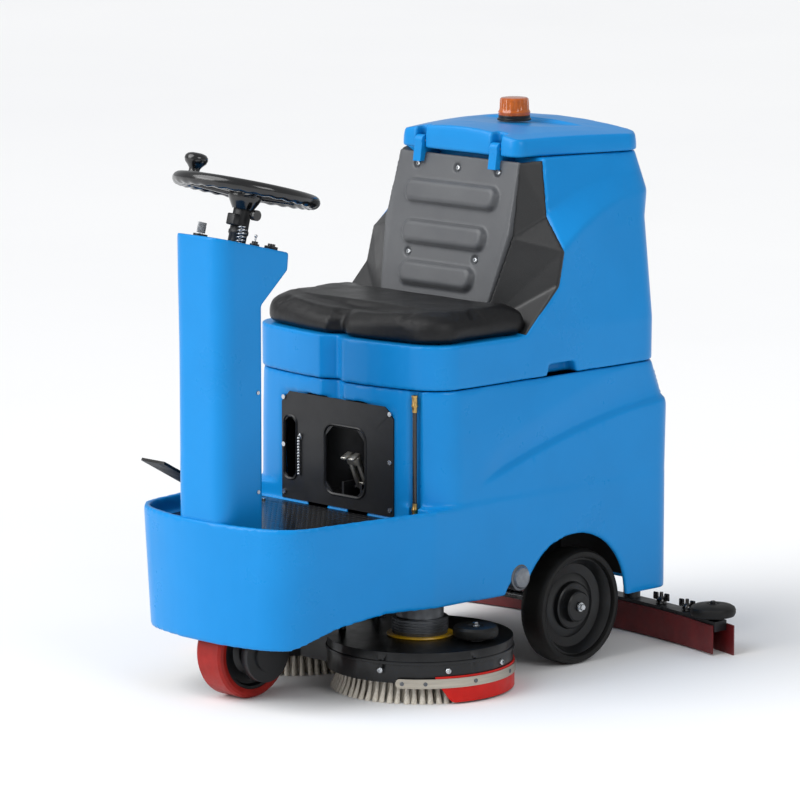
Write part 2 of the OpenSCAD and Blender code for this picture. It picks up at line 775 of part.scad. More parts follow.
module brush_deck() {
    color("#17181a") difference() {
        union() {
            translate([0, 0, deck_z0]) linear_extrude(deck_z1 - deck_z0) deck_outline();
            for (side = [-1, 1]) {
                // boss of the guide roller
                translate([side * roller_x, roller_y, deck_z1 - 20]) cylinder(r = 16, h = 28);
                translate([side * roller_x, roller_y, deck_z1 + 8]) cylinder(r = 5, h = roller_h + 1);
            }
            // guide posts of the lift
            for (x = [-40, 40]) translate([x, brush_y - 80, deck_z1 - 2]) cylinder(r = 8, h = 110);
        }
        for (side = [-1, 1]) translate([side * brush_x, brush_y, 0])
            cylinder(r = deck_r - deck_wall, h = deck_z1 - 6);
        translate([0, brush_y, 0]) block([-brush_x, -110, 0], [brush_x, 110, deck_z1 - 6]);
        for (side = [-1, 1]) translate([side * brush_x, brush_y, 0]) cylinder(r = drive_d / 2 + 4, h = 200);
        deck_bolt_places() cylinder(r = 4.1, h = 20, center = true);
    }
}

// Bolts round the rim of one shroud, Z along the bolt, at the outer face
module deck_bolt_places() {
    for (side = [-1, 1], angle = [-70, -10])
        translate([side * brush_x, brush_y, deck_z1 - 20]) rotate([0, 0, side > 0 ? angle : 180 - angle])
            translate([deck_r, 0, 0]) rotate([0, 90, 0]) children();
}

module brush_motors() {
    color("#8f9194") for (side = [-1, 1]) translate([side * brush_x, brush_y, deck_z1]) {
        cylinder(r = motor_r, h = 40);
        translate([0, 0, 40]) cylinder(r = motor_r - 8, h = motor_h - 40);
    }
}

module brush_block(side) {
    color("#3a3c40") translate([side * brush_x, brush_y, 0]) {
        translate([0, 0, bristle_h]) cylinder(r = brush_d / 2 - 26, h = 16);
        translate([0, 0, bristle_h + 16]) cylinder(r = 60, h = 12);
        translate([0, 0, bristle_h + 16]) cylinder(r = drive_d / 2, h = deck_z1 - gap - bristle_h - 16);
    }
}

module bristles(side) {
    color("#cfc8bd") translate([side * brush_x, brush_y, 0]) rotate_extrude() polygon([
        [70, 0], [brush_d / 2, 0], [brush_d / 2 - 12, bristle_h - 12], [brush_d / 2 - 27, bristle_h],
        [90, bristle_h]]);
}

module brush_block_left() { brush_block(1); }
module brush_block_right() { brush_block(-1); }
module bristles_left() { bristles(1); }
module bristles_right() { bristles(-1); }

// Part of a ring round one brush, from one angle to another, measured from straight outwards
module rim_sector(side, r0, r1, z0, z1, from, to) {
    translate([side * brush_x, brush_y, z0]) mirror([side > 0 ? 0 : 1, 0, 0]) rotate([0, 0, from])
        rotate_extrude(angle = to - from) translate([r0, 0]) square([r1 - r0, z1 - z0]);
}

module deck_skirts() {
    color("#c8342a") for (side = [-1, 1])
        rim_sector(side, deck_r + 0.2, deck_r + 3.2, 4, deck_z0 + 14, -36, 96);
}

module skirt_straps() {
    color("#b0a89c") for (side = [-1, 1]) {
        rim_sector(side, deck_r + 3.4, deck_r + 5.4, deck_z0 - 10, deck_z0 + 10, -60, 92);
        for (angle = [-56, -42, -10, 24, 58, 86])
            translate([side * brush_x, brush_y, deck_z0]) mirror([side > 0 ? 0 : 1, 0, 0]) rotate([0, 0,
                angle])
                translate([deck_r + 5.4, 0, 0]) rotate([0, 90, 0]) cylinder(r = 3, h = 2);
    }
    color("#c9ccd0") deck_bolt_places() {
        cylinder(r = 8, h = 4);
        translate([0, 0, -7]) cylinder(r = 4, h = 7);
    }
}

module deck_roller(side) {
    color("#1c1d1f") translate([side * roller_x, roller_y, roller_z + gap]) difference() {
        rotate_extrude() polygon([[0, 0], [deck_roller_d / 2 - 4, 0], [deck_roller_d / 2, 4],
            [deck_roller_d / 2, roller_h - 8], [deck_roller_d / 2 - 6, roller_h - 1], [0, roller_h - 1]]);
        translate([0, 0, -cut]) cylinder(r = 5 + running, h = roller_h + 4);
    }
}

module deck_roller_left() { deck_roller(1); }
module deck_roller_right() { deck_roller(-1); }

module lift_actuator() {
    color("#55585c") translate([0, actuator_y, 0]) difference() {
        union() {
            translate([0, 0, actuator_low_z]) cylinder(r = 24, h = pan_low_z - actuator_low_z);
            block([-34, -30, pan_low_z - 6], [34, 30, pan_low_z]);
        }
        cylinder(r = actuator_rod_r + running, h = actuator_low_z + 60);
    }
}

module actuator_rod() {
    color("#c9ccd0") translate([0, actuator_y, deck_z1]) {
        cylinder(r = actuator_rod_r, h = 80);
        cylinder(r = 20, h = 8);
    }
}

// ---- squeegee ----

// Curved bar that follows the squeegee, from one depth behind the blade line to another
module squeegee_bar(back0, back1, half, z0, z1) {
    steps = 24;
    outline = concat([for (i = [0 : steps]) let (x = -half + 2 * half * i / steps) [x, squeegee_at(x,
        back0)]],
        [for (i = [steps : -1 : 0]) let (x = -half + 2 * half * i / steps) [x, squeegee_at(x, back1)]]);
    translate([0, 0, z0]) linear_extrude(z1 - z0) polygon(outline);
}

module squeegee_bracket() {
    color("#6c6f73") difference() {
        union() {
            translate([0, lift_pivot_y, lift_pivot_z]) rod_x(-30, 30, 14);
            prism_x(-30, 30, [[lift_pivot_y - 10, lift_pivot_z + 8], [lift_pivot_y + 12, lift_pivot_z + 8],
                [lift_pivot_y + 60, frame_top_z + 46], [swing_y + 26, frame_top_z + 30],
                [swing_y + 26, frame_top_z + 20], [swing_y - 26, frame_top_z + 20],
                [lift_pivot_y + 20, frame_top_z + 34]]);
        }
        translate([0, lift_pivot_y, lift_pivot_z]) rod_x(-60, 60, 6);
        translate([0, swing_y, frame_z0]) cylinder(r = 8 + running, h = 120);
    }
    // lift pin
    color("#8c9096") translate([0, lift_pivot_y, lift_pivot_z]) rod_x(-52, 52, 6);
}

module squeegee_frame() {
    half = squeegee_w / 2 - 26;
    color("#17181a") difference() {
        union() {
            squeegee_bar(blade_t + gap, blade_gap - gap, half, frame_z0 + 12, frame_top_z);
            // tongue under the bracket with the swing pin
            block([-46, swing_y - 26, frame_top_z - 7.5], [46, squeegee_at(0, blade_gap) + 12,
                frame_top_z]);
            translate([0, swing_y, frame_top_z - 7.5]) cylinder(r = 8, h = 49.5);
            translate([0, swing_y, frame_top_z]) cylinder(r = 16, h = 19);
            // suction port
            translate([port_x, squeegee_at(port_x, blade_gap / 2), frame_top_z - 1]) cylinder(r = port_r,
                h = port_h + 1);
            for (side = [-1, 1]) translate([side * squeegee_roller_x, squeegee_at(squeegee_roller_x,
                blade_gap / 2), 0]) {
                translate([0, 0, frame_top_z - 4]) cylinder(r = 14, h = 10);
                translate([0, 0, frame_top_z]) cylinder(r = 5, h = 34);
            }
            for (x = squeegee_knob_xs) translate([x, squeegee_at(x, blade_gap / 2), frame_top_z - 1]) {
                cylinder(r = 11, h = 12);
                cylinder(r = 4, h = 18);
            }
        }
        translate([port_x, squeegee_at(port_x, blade_gap / 2), 0]) cylinder(r = port_r - 4, h = 200);
    }
}

module blade_front() {
    color("#7d1717") squeegee_bar(blade_gap, blade_gap + blade_t, squeegee_w / 2 - 30, 3,
        blade_h + 14);
}

module blade_rear() {
    color("#5a0f10") squeegee_bar(0, blade_t, squeegee_w / 2, 0, blade_h + 14);
}

module squeegee_roller(side) {
    color("#1c1d1f") translate([side * squeegee_roller_x, squeegee_at(squeegee_roller_x, blade_gap / 2),
        frame_top_z + 6 + gap]) difference() {
        rotate_extrude() polygon([[0, 0], [squeegee_roller_d / 2 - 3, 0], [squeegee_roller_d / 2, 3],
            [squeegee_roller_d / 2, 16], [squeegee_roller_d / 2 - 8, 26], [0, 26]]);
        translate([0, 0, -cut]) cylinder(r = 5 + running, h = 40);
    }
}

module squeegee_roller_left() { squeegee_roller(1); }
module squeegee_roller_right() { squeegee_roller(-1); }

// ---- upper tank, seat and lid ----

module tower_solid(inset, low, high) {
    hull() {
        slice(tank_hw - inset, tank_hw - inset, tower_front_y - 84 + inset, tower_back_y - inset,
            20 - inset, 40 - inset, low);
        slice(tank_hw - 10 - inset, tank_hw - 8 - inset, tower_front_y - 50 + inset,
            tower_back_y + 4 - inset,
            16 - inset, 44 - inset, (seat_z + tank_top_z) / 2);
        slice(tower_top_hw - 26 - inset, tower_top_hw + 14 - inset, tower_front_y - 6 + inset,
            tower_back_y + 20 - inset, 14 - inset, 60 - inset, tank_top_z - 86);
        slice(tower_top_hw - 62 - inset, tower_top_hw - inset, tower_front_y + 4 + inset,
            tower_back_y - 6 - inset,
            14 - inset, 50 - inset, high);
    }
}

module band_solid(inset, low, high) {
    hull() {
        for (z = [low, high])
            slice(box_hw - 8 - inset, tank_hw - inset, seat_front_y + inset, tower_back_y - inset,
                60 - inset, 45 - inset, z);
    }
}

module recovery_tank() {
    color("#3f97d8") difference() {
        union() {
            band_solid(0, split_z + gap + 0.5, seat_z - 0.5);
            tower_solid(0, seat_z - 30, tank_top_z - 0.5);
            // hinge lugs of the lid
            for (side = [-1, 1]) translate([side * lug_x, 0, 0]) difference() {
                union() {
                    block([-lug_w / 2, lid_pin_y - 9, tank_top_z - 30], [lug_w / 2, lid_pin_y + 9,
                        lid_pin_z + 9]);
                    block([-lug_w / 2, lid_pin_y - 9, tank_top_z - 30],
                        [lug_w / 2, tower_front_y + 16, tank_top_z - 0.5]);
                }
                translate([0, lid_pin_y, lid_pin_z]) rod_x(-40, 40, lid_pin_d / 2);
            }
            // hinge lugs on the right edge
            for (p = tank_hinge_ys) translate([0, p, 0]) difference() {
                union() {
                    translate([tank_pin_x, 0, split_z]) rotate([90, 0, 0]) cylinder(r = 9, h = 24,
                        center = true);
                    block([tank_pin_x - 4, -12, split_z + 2], [-tank_hw + 14, 12, split_z + 24]);
                }
                translate([tank_pin_x, 0, split_z]) rotate([90, 0, 0]) cylinder(r = tank_pin_d / 2,
                    h = 60, center = true);
            }
        }
        // water space, open at the top
        intersection() {
            tower_solid(wall, seat_z - 60, tank_top_z + 10);
            block([-body_hw, tank_inner_y, split_z + wall], [body_hw, body_rear_y, tank_top_z + 10]);
        }
        // hollow under the seat, open downwards
        intersection() {
            band_solid(wall, split_z - 20, seat_z + 20);
            block([-body_hw, seat_front_y, split_z - 20], [body_hw, tank_inner_y - wall, seat_z - wall]);
        }
        // finger notch in the left edge
        block([body_hw - 40, axle_y - 98, split_z - 2], [body_hw + 20, axle_y - 12, split_z + 25]);
        // drain port
        translate([drain_x, tower_back_y - 40, drain_z]) rotate([-90, 0, 0]) cylinder(r = drain_r, h = 120);
    }
}

// Corner points of the moulding that carries the backrest, on the left side
panel_low = [153, panel_low_y, panel_low_z];
panel_top = [178, panel_top_y, panel_top_z];
panel_kink = [186, panel_top_y - 26, panel_top_z - 140];

// Small balls at points, mirrored on both sides or on one
module dots(points, sides) {
    for (p = points, s = sides) translate([s * p[0], p[1], p[2]]) sphere(r = 2, $fn = 16);
}

module surround_solid() {
    back_low = [tank_hw - 24, axle_y - 20, seat_z + 2];
    back_top = [200, axle_y - 20, tank_top_z - 8];
    hull() dots([panel_low, panel_top, [150, panel_low_y - 6, seat_z + 3], back_top, [200, axle_y - 60,
        seat_z + 3]], [-1, 1]);
    for (side = [-1, 1]) {
        hull() dots([panel_top, wing_top, wing_kink, panel_kink, back_top], [side]);
        hull() dots([panel_low, panel_kink, wing_kink, wing_peak, wing_mid, wing_low, back_low, back_top,
            [150, panel_low_y - 6, seat_z + 3]], [side]);
    }
}

module seat_surround() {
    color("#55575a") {
        difference() {
            surround_solid();
            tower_solid(-gap, seat_z - 20, tank_top_z);
            block([-body_w, nose_y, 0], [body_w, tail_y, seat_z + gap]);
            for (side = [-1, 1]) translate([side * lug_x, 0, 0])
                block([-lug_w / 2 - 1, lid_pin_y - 10, tank_top_z - 32], [lug_w / 2 + 1, lid_pin_y + 30,
                    tank_top_z + 20]);
            seat_screw_places() translate([0, 0, -3.4]) cylinder(r = 6.2, h = 30);
        }
        back_ribs();
    }
}

// Frame on the backrest's face, X to the left, Y up the face, Z out of it

module on_backrest() {
    translate([0, panel_low_y, panel_low_z]) rotate([90 - panel_lean, 0, 0]) children();
}

module back_ribs() {
    on_backrest() for (row = rib_rows) translate([0, row[0] * panel_len, 0])
        linear_extrude(12) {
            square([2 * row[1] - rib_h, rib_h], center = true);
            for (side = [-1, 1]) translate([side * (row[1] - rib_h / 2), 0]) circle(r = rib_h / 2);
        }
}

module seat_screw_places() {
    on_backrest() {
        for (x = [-120, 0, 120]) translate([x, panel_len * 0.92, 2]) children();
        for (x = [-92, 92]) translate([x, panel_len * 0.335, 2]) children();
    }
}

module seat_screws() {
    color("#26282b") seat_screw_places() translate([0, 0, -3.4]) cylinder(r = 6, h = 3);
}

module seat_cushion() {
    color("#1d1d1f") difference() {
        hull() {
            slice(box_hw - 10, box_hw - 6, seat_front_y + 4, panel_low_y + 30, 62, 30, seat_z + 1);
            slice(box_hw - 10, box_hw - 6, seat_front_y + 2, panel_low_y + 30, 62, 30, seat_z + 22);
            slice(box_hw - 34, box_hw - 30, seat_front_y + 26, panel_low_y + 20, 50, 30,
                seat_z + cushion_h);
        }
        surround_room();
    }
}

// Room that the cushion leaves for the backrest moulding
module surround_room() {
    block([-156, panel_low_y - 9, 0], [156, tail_y, tank_top_z]);
    for (side = [-1, 1]) hull() {
        for (grow = [-1, 1]) dots([[148, panel_low_y - 12, seat_z + (grow > 0 ? 90 : -10)],
            [tank_hw + 4, axle_y - 166, seat_z + (grow > 0 ? 90 : -10)],
            [tank_hw + 4, axle_y - 20, seat_z + (grow > 0 ? 90 : -10)],
            [148, axle_y - 20, seat_z + (grow > 0 ? 90 : -10)]], [side]);
    }
}

module lid_solid(inset) {
    hull() {
        slice(178 - inset, tower_top_hw + 2 - inset, lid_front_y + inset, lid_back_y - inset, 14, 50,
            tank_top_z + 1.5);
        slice(176 - inset, tower_top_hw - inset, lid_front_y + 1 + inset, lid_back_y - inset, 14, 50,
            tank_top_z + 24 - inset);
        slice(134 - inset, tower_top_hw - 42 - inset, lid_front_y + 12 + inset, lid_back_y - 30 - inset,
            14, 40,
            tank_top_z + 42 - inset);
        slice(90 - inset, tower_top_hw - 110 - inset, lid_front_y + 70, lid_back_y - 100, 14, 40,
            tank_top_z + lid_h - inset);
    }
}

module tank_lid() {
    color("#3f97d8") difference() {
        lid_solid(0);
        intersection() {
            lid_solid(6);
            block([-body_hw, lid_pin_y + 14, 0], [body_hw, tail_y, tank_top_z + lid_h]);
        }
        block([-tower_top_hw + 8, lid_pin_y + 14, 0], [tower_top_hw - 8, lid_back_y - 50, tank_top_z + 20]);
        for (side = [-1, 1]) translate([side * lug_x, 0, 0]) {
            block([-lug_w / 2 - 1, lid_front_y - 10, 0], [lug_w / 2 + 1, lid_pin_y + 13,
                tank_top_z + lid_h + 20]);
            translate([0, lid_pin_y, lid_pin_z]) rod_x(-24, 24, lid_pin_d / 2 + running);
        }
    }
}

module hinge_pins() {
    color("#8c9096") {
        for (side = [-1, 1]) translate([side * lug_x, lid_pin_y, lid_pin_z]) rod_x(-23, 23, lid_pin_d / 2);
        for (p = tank_hinge_ys) translate([tank_pin_x, p, split_z]) rotate([90, 0, 0])
            cylinder(r = tank_pin_d / 2, h = 46, center = true);
    }
}

module beacon_base() {
    color("#1c1d1f") translate([0, beacon_y, lid_top_z]) {
        cylinder(r = 36, h = 6);
        cylinder(r = 31, h = 16);
    }
}

module beacon_lens() {
    color("#c8690a") translate([0, beacon_y, lid_top_z + 16]) rotate_extrude()
        polygon([[0, 0], [30, 0], [28, beacon_h - 24], [22, beacon_h - 17], [0, beacon_h - 16]]);
}

// ---- small fittings ----

module level_tube() {
    color("#2b2018") translate([level_x, level_y, floor_z + 12]) cylinder(r = 5,
        h = split_z - floor_z - 30);
    color("#b8963e") for (z = [floor_z + 8, split_z - 24])
        translate([level_x, level_y, z]) cylinder(r = level_r, h = 16);
}

module water_filter() {
    color("#a8aaa6") translate([0, filter_y, filter_z]) {
        rod_x(body_hw - 62, body_hw - 12, 30);
        rod_x(body_hw - 12, body_hw - 6, 20);
        rod_x(rail_x + rail_t / 2, body_hw - 62, 12);
    }
    color("#26282b") block([rail_x + rail_t / 2, filter_y - 16, filter_z], [body_hw - 66, filter_y + 16,
        rail_z1]);
}

module vacuum_motor() {
    color("#3a3c40") translate([0, box_front_y + 140, 0]) {
        translate([0, 0, seat_z - wall - 80]) cylinder(r = 68, h = 80);
        translate([0, 0, seat_z - wall - 88]) cylinder(r = 40, h = 8);
    }
}

module drain_cap() {
    color("#1c1d1f") translate([drain_x, tower_back_y - 20, drain_z]) rotate([-90, 0, 0]) {
        cylinder(r = drain_r - 0.2, h = 30);
        translate([0, 0, 22]) cylinder(r = 28, h = 14.5);
        translate([0, 0, 36]) cylinder(r = 20, h = 8);
    }
}

module lift_lever() {
    color("#c8c8c0") translate([lever_x, lever_y, lever_z]) {
        rod_x(-22, 22, 8);
        rod_x(-32, 32, 5);
        rotate([24, 0, 0]) {
            for (x = [-16, 4]) block([x, -6, 0], [x + 10, 0, 86]);
            block([-16, -6, 0], [14, 0, 30]);
            block([-16, -22, 80], [14, 0, 86]);
        }
    }
}

lower_body();
chassis_frame();
platform_mat();
kick_panel();
cover_screws();
column_cover();
steering_tube();
column_spring();
clamp_knob();
steering_shaft();
steering_wheel();
spinner_knob();
dash_switches();
ignition_key();
toggle_lever();
horn_button();
pedal_bracket();
accelerator_pedal();
steer_fork();
drive_motor();
front_axle();
front_tyre();
front_hub();
rear_axle();
rear_tyre_left();
rear_hub_left();
rear_tyre_right();
rear_hub_right();
batteries();
brush_deck();
brush_motors();
brush_block_left();
bristles_left();
brush_block_right();
bristles_right();
deck_skirts();
skirt_straps();
deck_roller_left();
deck_roller_right();
lift_actuator();
actuator_rod();
squeegee_bracket();
squeegee_frame();
blade_front();
blade_rear();
squeegee_roller_left();
squeegee_roller_right();
recovery_tank();
seat_surround();
seat_cushion();
seat_screws();
tank_lid();
hinge_pins();
beacon_base();
beacon_lens();
level_tube();
water_filter();
lift_lever();
vacuum_motor();
drain_cap();
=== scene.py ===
"""Ride-on floor scrubber: the looks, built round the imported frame.

Every size is in metres and every piece stands in the frame's own axes: the
front faces -Y, the driver's left hand is on +X and the floor is z = 0.
"""

import logging
import math
from dataclasses import dataclass
from enum import Enum
from typing import Callable, Optional, Sequence

import bmesh
import bpy
from mathutils import Matrix, Vector, noise
from mathutils.bvhtree import BVHTree


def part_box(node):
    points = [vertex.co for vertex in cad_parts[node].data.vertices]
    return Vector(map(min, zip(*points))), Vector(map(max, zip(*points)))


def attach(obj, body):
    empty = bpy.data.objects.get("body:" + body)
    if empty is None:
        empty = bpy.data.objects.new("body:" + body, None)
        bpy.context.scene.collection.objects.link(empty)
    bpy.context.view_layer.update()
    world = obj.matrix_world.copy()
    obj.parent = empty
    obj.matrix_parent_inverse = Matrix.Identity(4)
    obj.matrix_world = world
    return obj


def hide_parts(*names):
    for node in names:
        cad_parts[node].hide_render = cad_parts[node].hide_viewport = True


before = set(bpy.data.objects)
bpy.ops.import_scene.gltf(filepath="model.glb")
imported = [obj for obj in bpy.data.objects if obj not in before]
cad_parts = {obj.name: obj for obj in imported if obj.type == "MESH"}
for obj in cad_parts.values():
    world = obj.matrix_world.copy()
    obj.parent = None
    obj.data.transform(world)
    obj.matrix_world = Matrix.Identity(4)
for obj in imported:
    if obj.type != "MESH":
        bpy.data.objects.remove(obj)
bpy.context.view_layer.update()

LOG = logging.getLogger("ride_on_scrubber")
MM = 0.001
TURN = 2 * math.pi
# Angle in degrees above which an edge of most pieces stays sharp.
SHARP = 40.0
# Sign along X and word of the driver's left and right.
SIDES = ((1, "left"), (-1, "right"))
Mesh = bmesh.types.BMesh
Piece = bpy.types.Object
Tree = bpy.types.NodeTree
Socket = bpy.types.NodeSocket
Point = Sequence[float]
Place = tuple[float, float, float]
Outline = list[tuple[float, float]]
Profile = Sequence[tuple[float, float]]


class Axis(Enum):
    """The frame's directions, named for how a turned or drawn piece lies."""

    X = 0
    Y = 1
    Z = 2


# --------------------
# Finishes
# --------------------


def linear(code: str) -> tuple[float, ...]:
    """Turns an sRGB hex colour to the linear values a shader takes.

    Args:
        code: The colour as "#RRGGBB".

    Returns:
        Red, green and blue in linear light, and an alpha of 1.
    """
    parts = [int(code[i : i + 2], 16) / 255 for i in (1, 3, 5)]
    curve = [c / 12.92 if c <= 0.04045 else ((c + 0.055) / 1.055) ** 2.4 for c in parts]
    return (curve[0], curve[1], curve[2], 1.0)


def add_node(
    tree: Tree, kind: str, inputs: Optional[dict] = None, settings: Optional[dict] = None
) -> bpy.types.Node:
    """Adds one shader node with its settings, values and links.

    Args:
        tree: The material's node tree.
        kind: The node's type name after "ShaderNode".
        inputs: Values or output sockets by input name or number.
        settings: Attributes of the node itself.

    Returns:
        The new node.
    """
    node = tree.nodes.new("ShaderNode" + kind)
    for key, value in (settings or {}).items():
        setattr(node, key, value)
    for key, value in (inputs or {}).items():
        if isinstance(value, Socket):
            tree.links.new(value, node.inputs[key])
        else:
            node.inputs[key].default_value = value
    return node


def scale_for(size_mm: float) -> float:
    """Gives a noise scale whose features are about this many millimetres."""
    return 1000.0 / size_mm


@dataclass(frozen=True)
class Finish:
    """A moulded, painted or machined surface with tone, gloss and grain.

    The tone drifts between two colours over patch_mm, the gloss drifts with
    it, and a grain of grain_mm stands bump_mm proud. slot is the record's.
    """

    name: str
    slot: str
    colour: str
    second: str
    roughness: float
    metallic: float = 0.0
    patch_mm: float = 60.0
    grain_mm: float = 2.0
    bump_mm: float = 0.05
    gloss_drift: float = 0.08
    coat: float = 0.0
    coat_roughness: float = 0.1
    specular: float = 0.5
    stretch: Place = (1.0, 1.0, 1.0)
    transmission: float = 0.0
    ior: Optional[float] = None
    glow: float = 0.0
    sheen: float = 0.0

    def tone(self, tree: Tree, where: Socket) -> Socket:
        """Gives the socket that carries the surface colour.

        Args:
            tree: The material's node tree.
            where: The place on the piece.

        Returns:
            A colour socket.
        """
        drift = add_node(
            tree, "TexNoise",
            {"Vector": where, "Scale": scale_for(self.patch_mm), "Detail": 4.0, "Roughness": 0.6}
        )
        spread = add_node(tree, "MapRange", {"Value": drift.outputs["Fac"], "From Min": 0.3, "From Max": 0.7})
        mix = add_node(
            tree, "Mix", {0: spread.outputs["Result"], 6: linear(self.colour), 7: linear(self.second)},
            {"data_type": "RGBA"}
        )
        return mix.outputs[2]

    def relief(self, tree: Tree, where: Socket) -> Socket:
        """Gives the height pattern that the bump reads.

        Args:
            tree: The material's node tree.
            where: The place on the piece.

        Returns:
            A value socket between 0 and 1.
        """
        grain = add_node(
            tree, "TexNoise",
            {"Vector": where, "Scale": scale_for(self.grain_mm), "Detail": 3.0, "Roughness": 0.55}
        )
        return grain.outputs["Fac"]

    def material(self) -> bpy.types.Material:
        """Makes the material once and returns it after that."""
        known = bpy.data.materials.get(self.name)
        if known:
            return known
        made = bpy.data.materials.new(self.name)
        made.use_nodes = True
        tree = made.node_tree
        tree.nodes.clear()
        place = add_node(tree, "TexCoord")
        where = add_node(
            tree, "Mapping", {"Vector": place.outputs["Object"], "Scale": self.stretch}
        ).outputs["Vector"]
        height = self.relief(tree, where)
        bump = add_node(tree, "Bump", {"Height": height, "Distance": self.bump_mm * MM, "Strength": 1.0})
        patch = add_node(
            tree, "TexNoise",
            {"Vector": where, "Scale": scale_for(self.patch_mm * 0.7), "Detail": 5.0, "Roughness": 0.65}
        )
        gloss = add_node(
            tree, "MapRange",
            {
                "Value": patch.outputs["Fac"], "From Min": 0.3, "From Max": 0.7,
                "To Min": max(0.02, self.roughness - self.gloss_drift),
                "To Max": min(1.0, self.roughness + self.gloss_drift)
            }
        )
        shader = add_node(
            tree, "BsdfPrincipled",
            {
                "Base Color": self.tone(tree, where), "Roughness": gloss.outputs["Result"],
                "Metallic": self.metallic, "Coat Weight": self.coat, "Coat Roughness": self.coat_roughness,
                "Specular IOR Level": self.specular, "Transmission Weight": self.transmission,
                "Sheen Weight": self.sheen, "Normal": bump.outputs["Normal"]
            }
        )
        if self.ior is not None:
            shader.inputs["IOR"].default_value = self.ior
        if self.glow > 0:
            shader.inputs["Emission Color"].default_value = linear(self.colour)
            shader.inputs["Emission Strength"].default_value = self.glow
        add_node(tree, "OutputMaterial", {"Surface": shader.outputs[0]})
        made.diffuse_color = linear(self.colour)
        return made


@dataclass(frozen=True)
class LeatherGrain(Finish):
    """Embossed vinyl: rounded cells of about grain_mm with creases between."""

    def relief(self, tree: Tree, where: Socket) -> Socket:
        """Gives the embossed cells as heights.

        Args:
            tree: The material's node tree.
            where: The place on the piece.

        Returns:
            A value socket that is low in the creases.
        """
        cells = add_node(
            tree, "TexVoronoi", {"Vector": where, "Scale": scale_for(self.grain_mm)},
            {"feature": "DISTANCE_TO_EDGE"}
        )
        crease = add_node(
            tree, "MapRange", {"Value": cells.outputs["Distance"], "From Min": 0.0, "From Max": 0.25},
            {"interpolation_type": "SMOOTHSTEP"}
        )
        return crease.outputs["Result"]


@dataclass(frozen=True)
class StuddedSheet(Finish):
    """A moulded mat: round studs of grain_mm pitch stand bump_mm proud."""

    def relief(self, tree: Tree, where: Socket) -> Socket:
        """Gives the studs as heights.

        Args:
            tree: The material's node tree.
            where: The place on the piece.

        Returns:
            A value socket that is 1 on a stud and 0 between studs.
        """
        studs = add_node(
            tree, "TexVoronoi", {"Vector": where, "Scale": scale_for(self.grain_mm), "Randomness": 0.0},
            {"feature": "F1"}
        )
        top = add_node(
            tree, "MapRange", {"Value": studs.outputs["Distance"], "From Min": 0.42, "From Max": 0.30},
            {"interpolation_type": "SMOOTHSTEP"}
        )
        return top.outputs["Result"]


# Rotationally moulded polyethylene: waxy sheen, faint orange peel, even colour.
BLUE_SHELL = Finish(
    "rotomoulded_blue_polyethylene", "blue_polyethylene", "#0F86CE", "#0B80C6", 0.30, grain_mm=5.0,
    bump_mm=0.06, patch_mm=240.0, gloss_drift=0.04, specular=0.22
)
# Painted shade for the inside of the blue body under its floor: flat black, coarse grain.
INSIDE_PAINTED_SHADE = Finish(
    "inside_painted_shade", "blue_polyethylene", "#0C0C0D", "#131314", 0.60, grain_mm=3.0, bump_mm=0.20,
    patch_mm=40.0, specular=0.3
)
# Injection-moulded ABS for trim and covers: satin black, fine spark grain.
BLACK_ABS = Finish(
    "moulded_black_abs", "black_plastic", "#0B0C0D", "#111214", 0.34, grain_mm=1.2, bump_mm=0.04,
    gloss_drift=0.06, specular=0.4
)
# Polyurethane integral skin on the backrest: soft grey-black with a leather look; its grey is partly the
# skin's own and partly painted sheen of the lit panel.
BACKREST_SKIN_WITH_SHEEN = LeatherGrain(
    "grey_foam_painted_sheen", "grey_backrest", "#4C4E51", "#404246", 0.38, grain_mm=2.2, bump_mm=0.10,
    patch_mm=120.0, sheen=0.15
)
# The same skin, darkened to near black as painted shade on the side facets.
WING_SKIN_PAINTED_SHADE = LeatherGrain(
    "integral_foam_painted_shade", "grey_backrest", "#0D0E10", "#131416", 0.40, grain_mm=2.2, bump_mm=0.08,
    patch_mm=120.0
)
# Embossed seat vinyl: shallow cells, silky gloss on the crown.
SEAT_VINYL = LeatherGrain(
    "embossed_seat_vinyl", "seat_vinyl", "#08080A", "#0D0D0F", 0.36, grain_mm=2.4, bump_mm=0.12,
    patch_mm=90.0, specular=0.32
)
# Powder-coated mild steel: satin black with a fine pebble.
BLACK_STEEL = Finish(
    "powder_coated_steel", "black_steel", "#121315", "#1B1C1F", 0.42, grain_mm=0.9, bump_mm=0.05,
    specular=0.45
)
# Zinc-plated steel for bolts and pins: bright, slightly clouded.
BRIGHT_STEEL = Finish(
    "zinc_plated_steel", "bright_steel", "#C9CBCD", "#AEB2B6", 0.26, metallic=1.0, grain_mm=1.5, bump_mm=0.02,
    patch_mm=15.0
)
# Brushed stainless strap: fine lines along its length.
BRUSHED_STEEL = Finish(
    "brushed_stainless", "bright_steel", "#BDB6A8", "#A39C90", 0.36, metallic=1.0, grain_mm=1.4, bump_mm=0.03,
    patch_mm=22.0, stretch=(0.15, 0.15, 3.0)
)
# Cast aluminium on motors: dull, faintly pitted.
CAST_METAL = Finish(
    "cast_aluminium", "grey_metal", "#6E7175", "#5C5F63", 0.46, metallic=0.85, grain_mm=1.4, bump_mm=0.12,
    patch_mm=30.0
)
# Vulcanised rubber tyres and skirts: matt, dusty black.
BLACK_RUBBER = Finish(
    "vulcanised_rubber", "rubber_black", "#0B0B0B", "#121211", 0.52, grain_mm=1.6, bump_mm=0.08,
    patch_mm=35.0, specular=0.3
)
# Studded rubber mat: glossy tops, dark valleys.
STUDDED_MAT = StuddedSheet(
    "studded_rubber_mat", "rubber_black", "#0C0D0F", "#16171A", 0.22, grain_mm=15.0, bump_mm=1.6,
    gloss_drift=0.05
)
# Cast polyurethane drive tyre: brick red, slightly translucent and scuffed.
RED_TREAD = Finish(
    "cast_red_polyurethane", "red_polyurethane", "#9E1E16", "#871812", 0.42, grain_mm=2.5, bump_mm=0.10,
    patch_mm=28.0, gloss_drift=0.12, specular=0.25
)
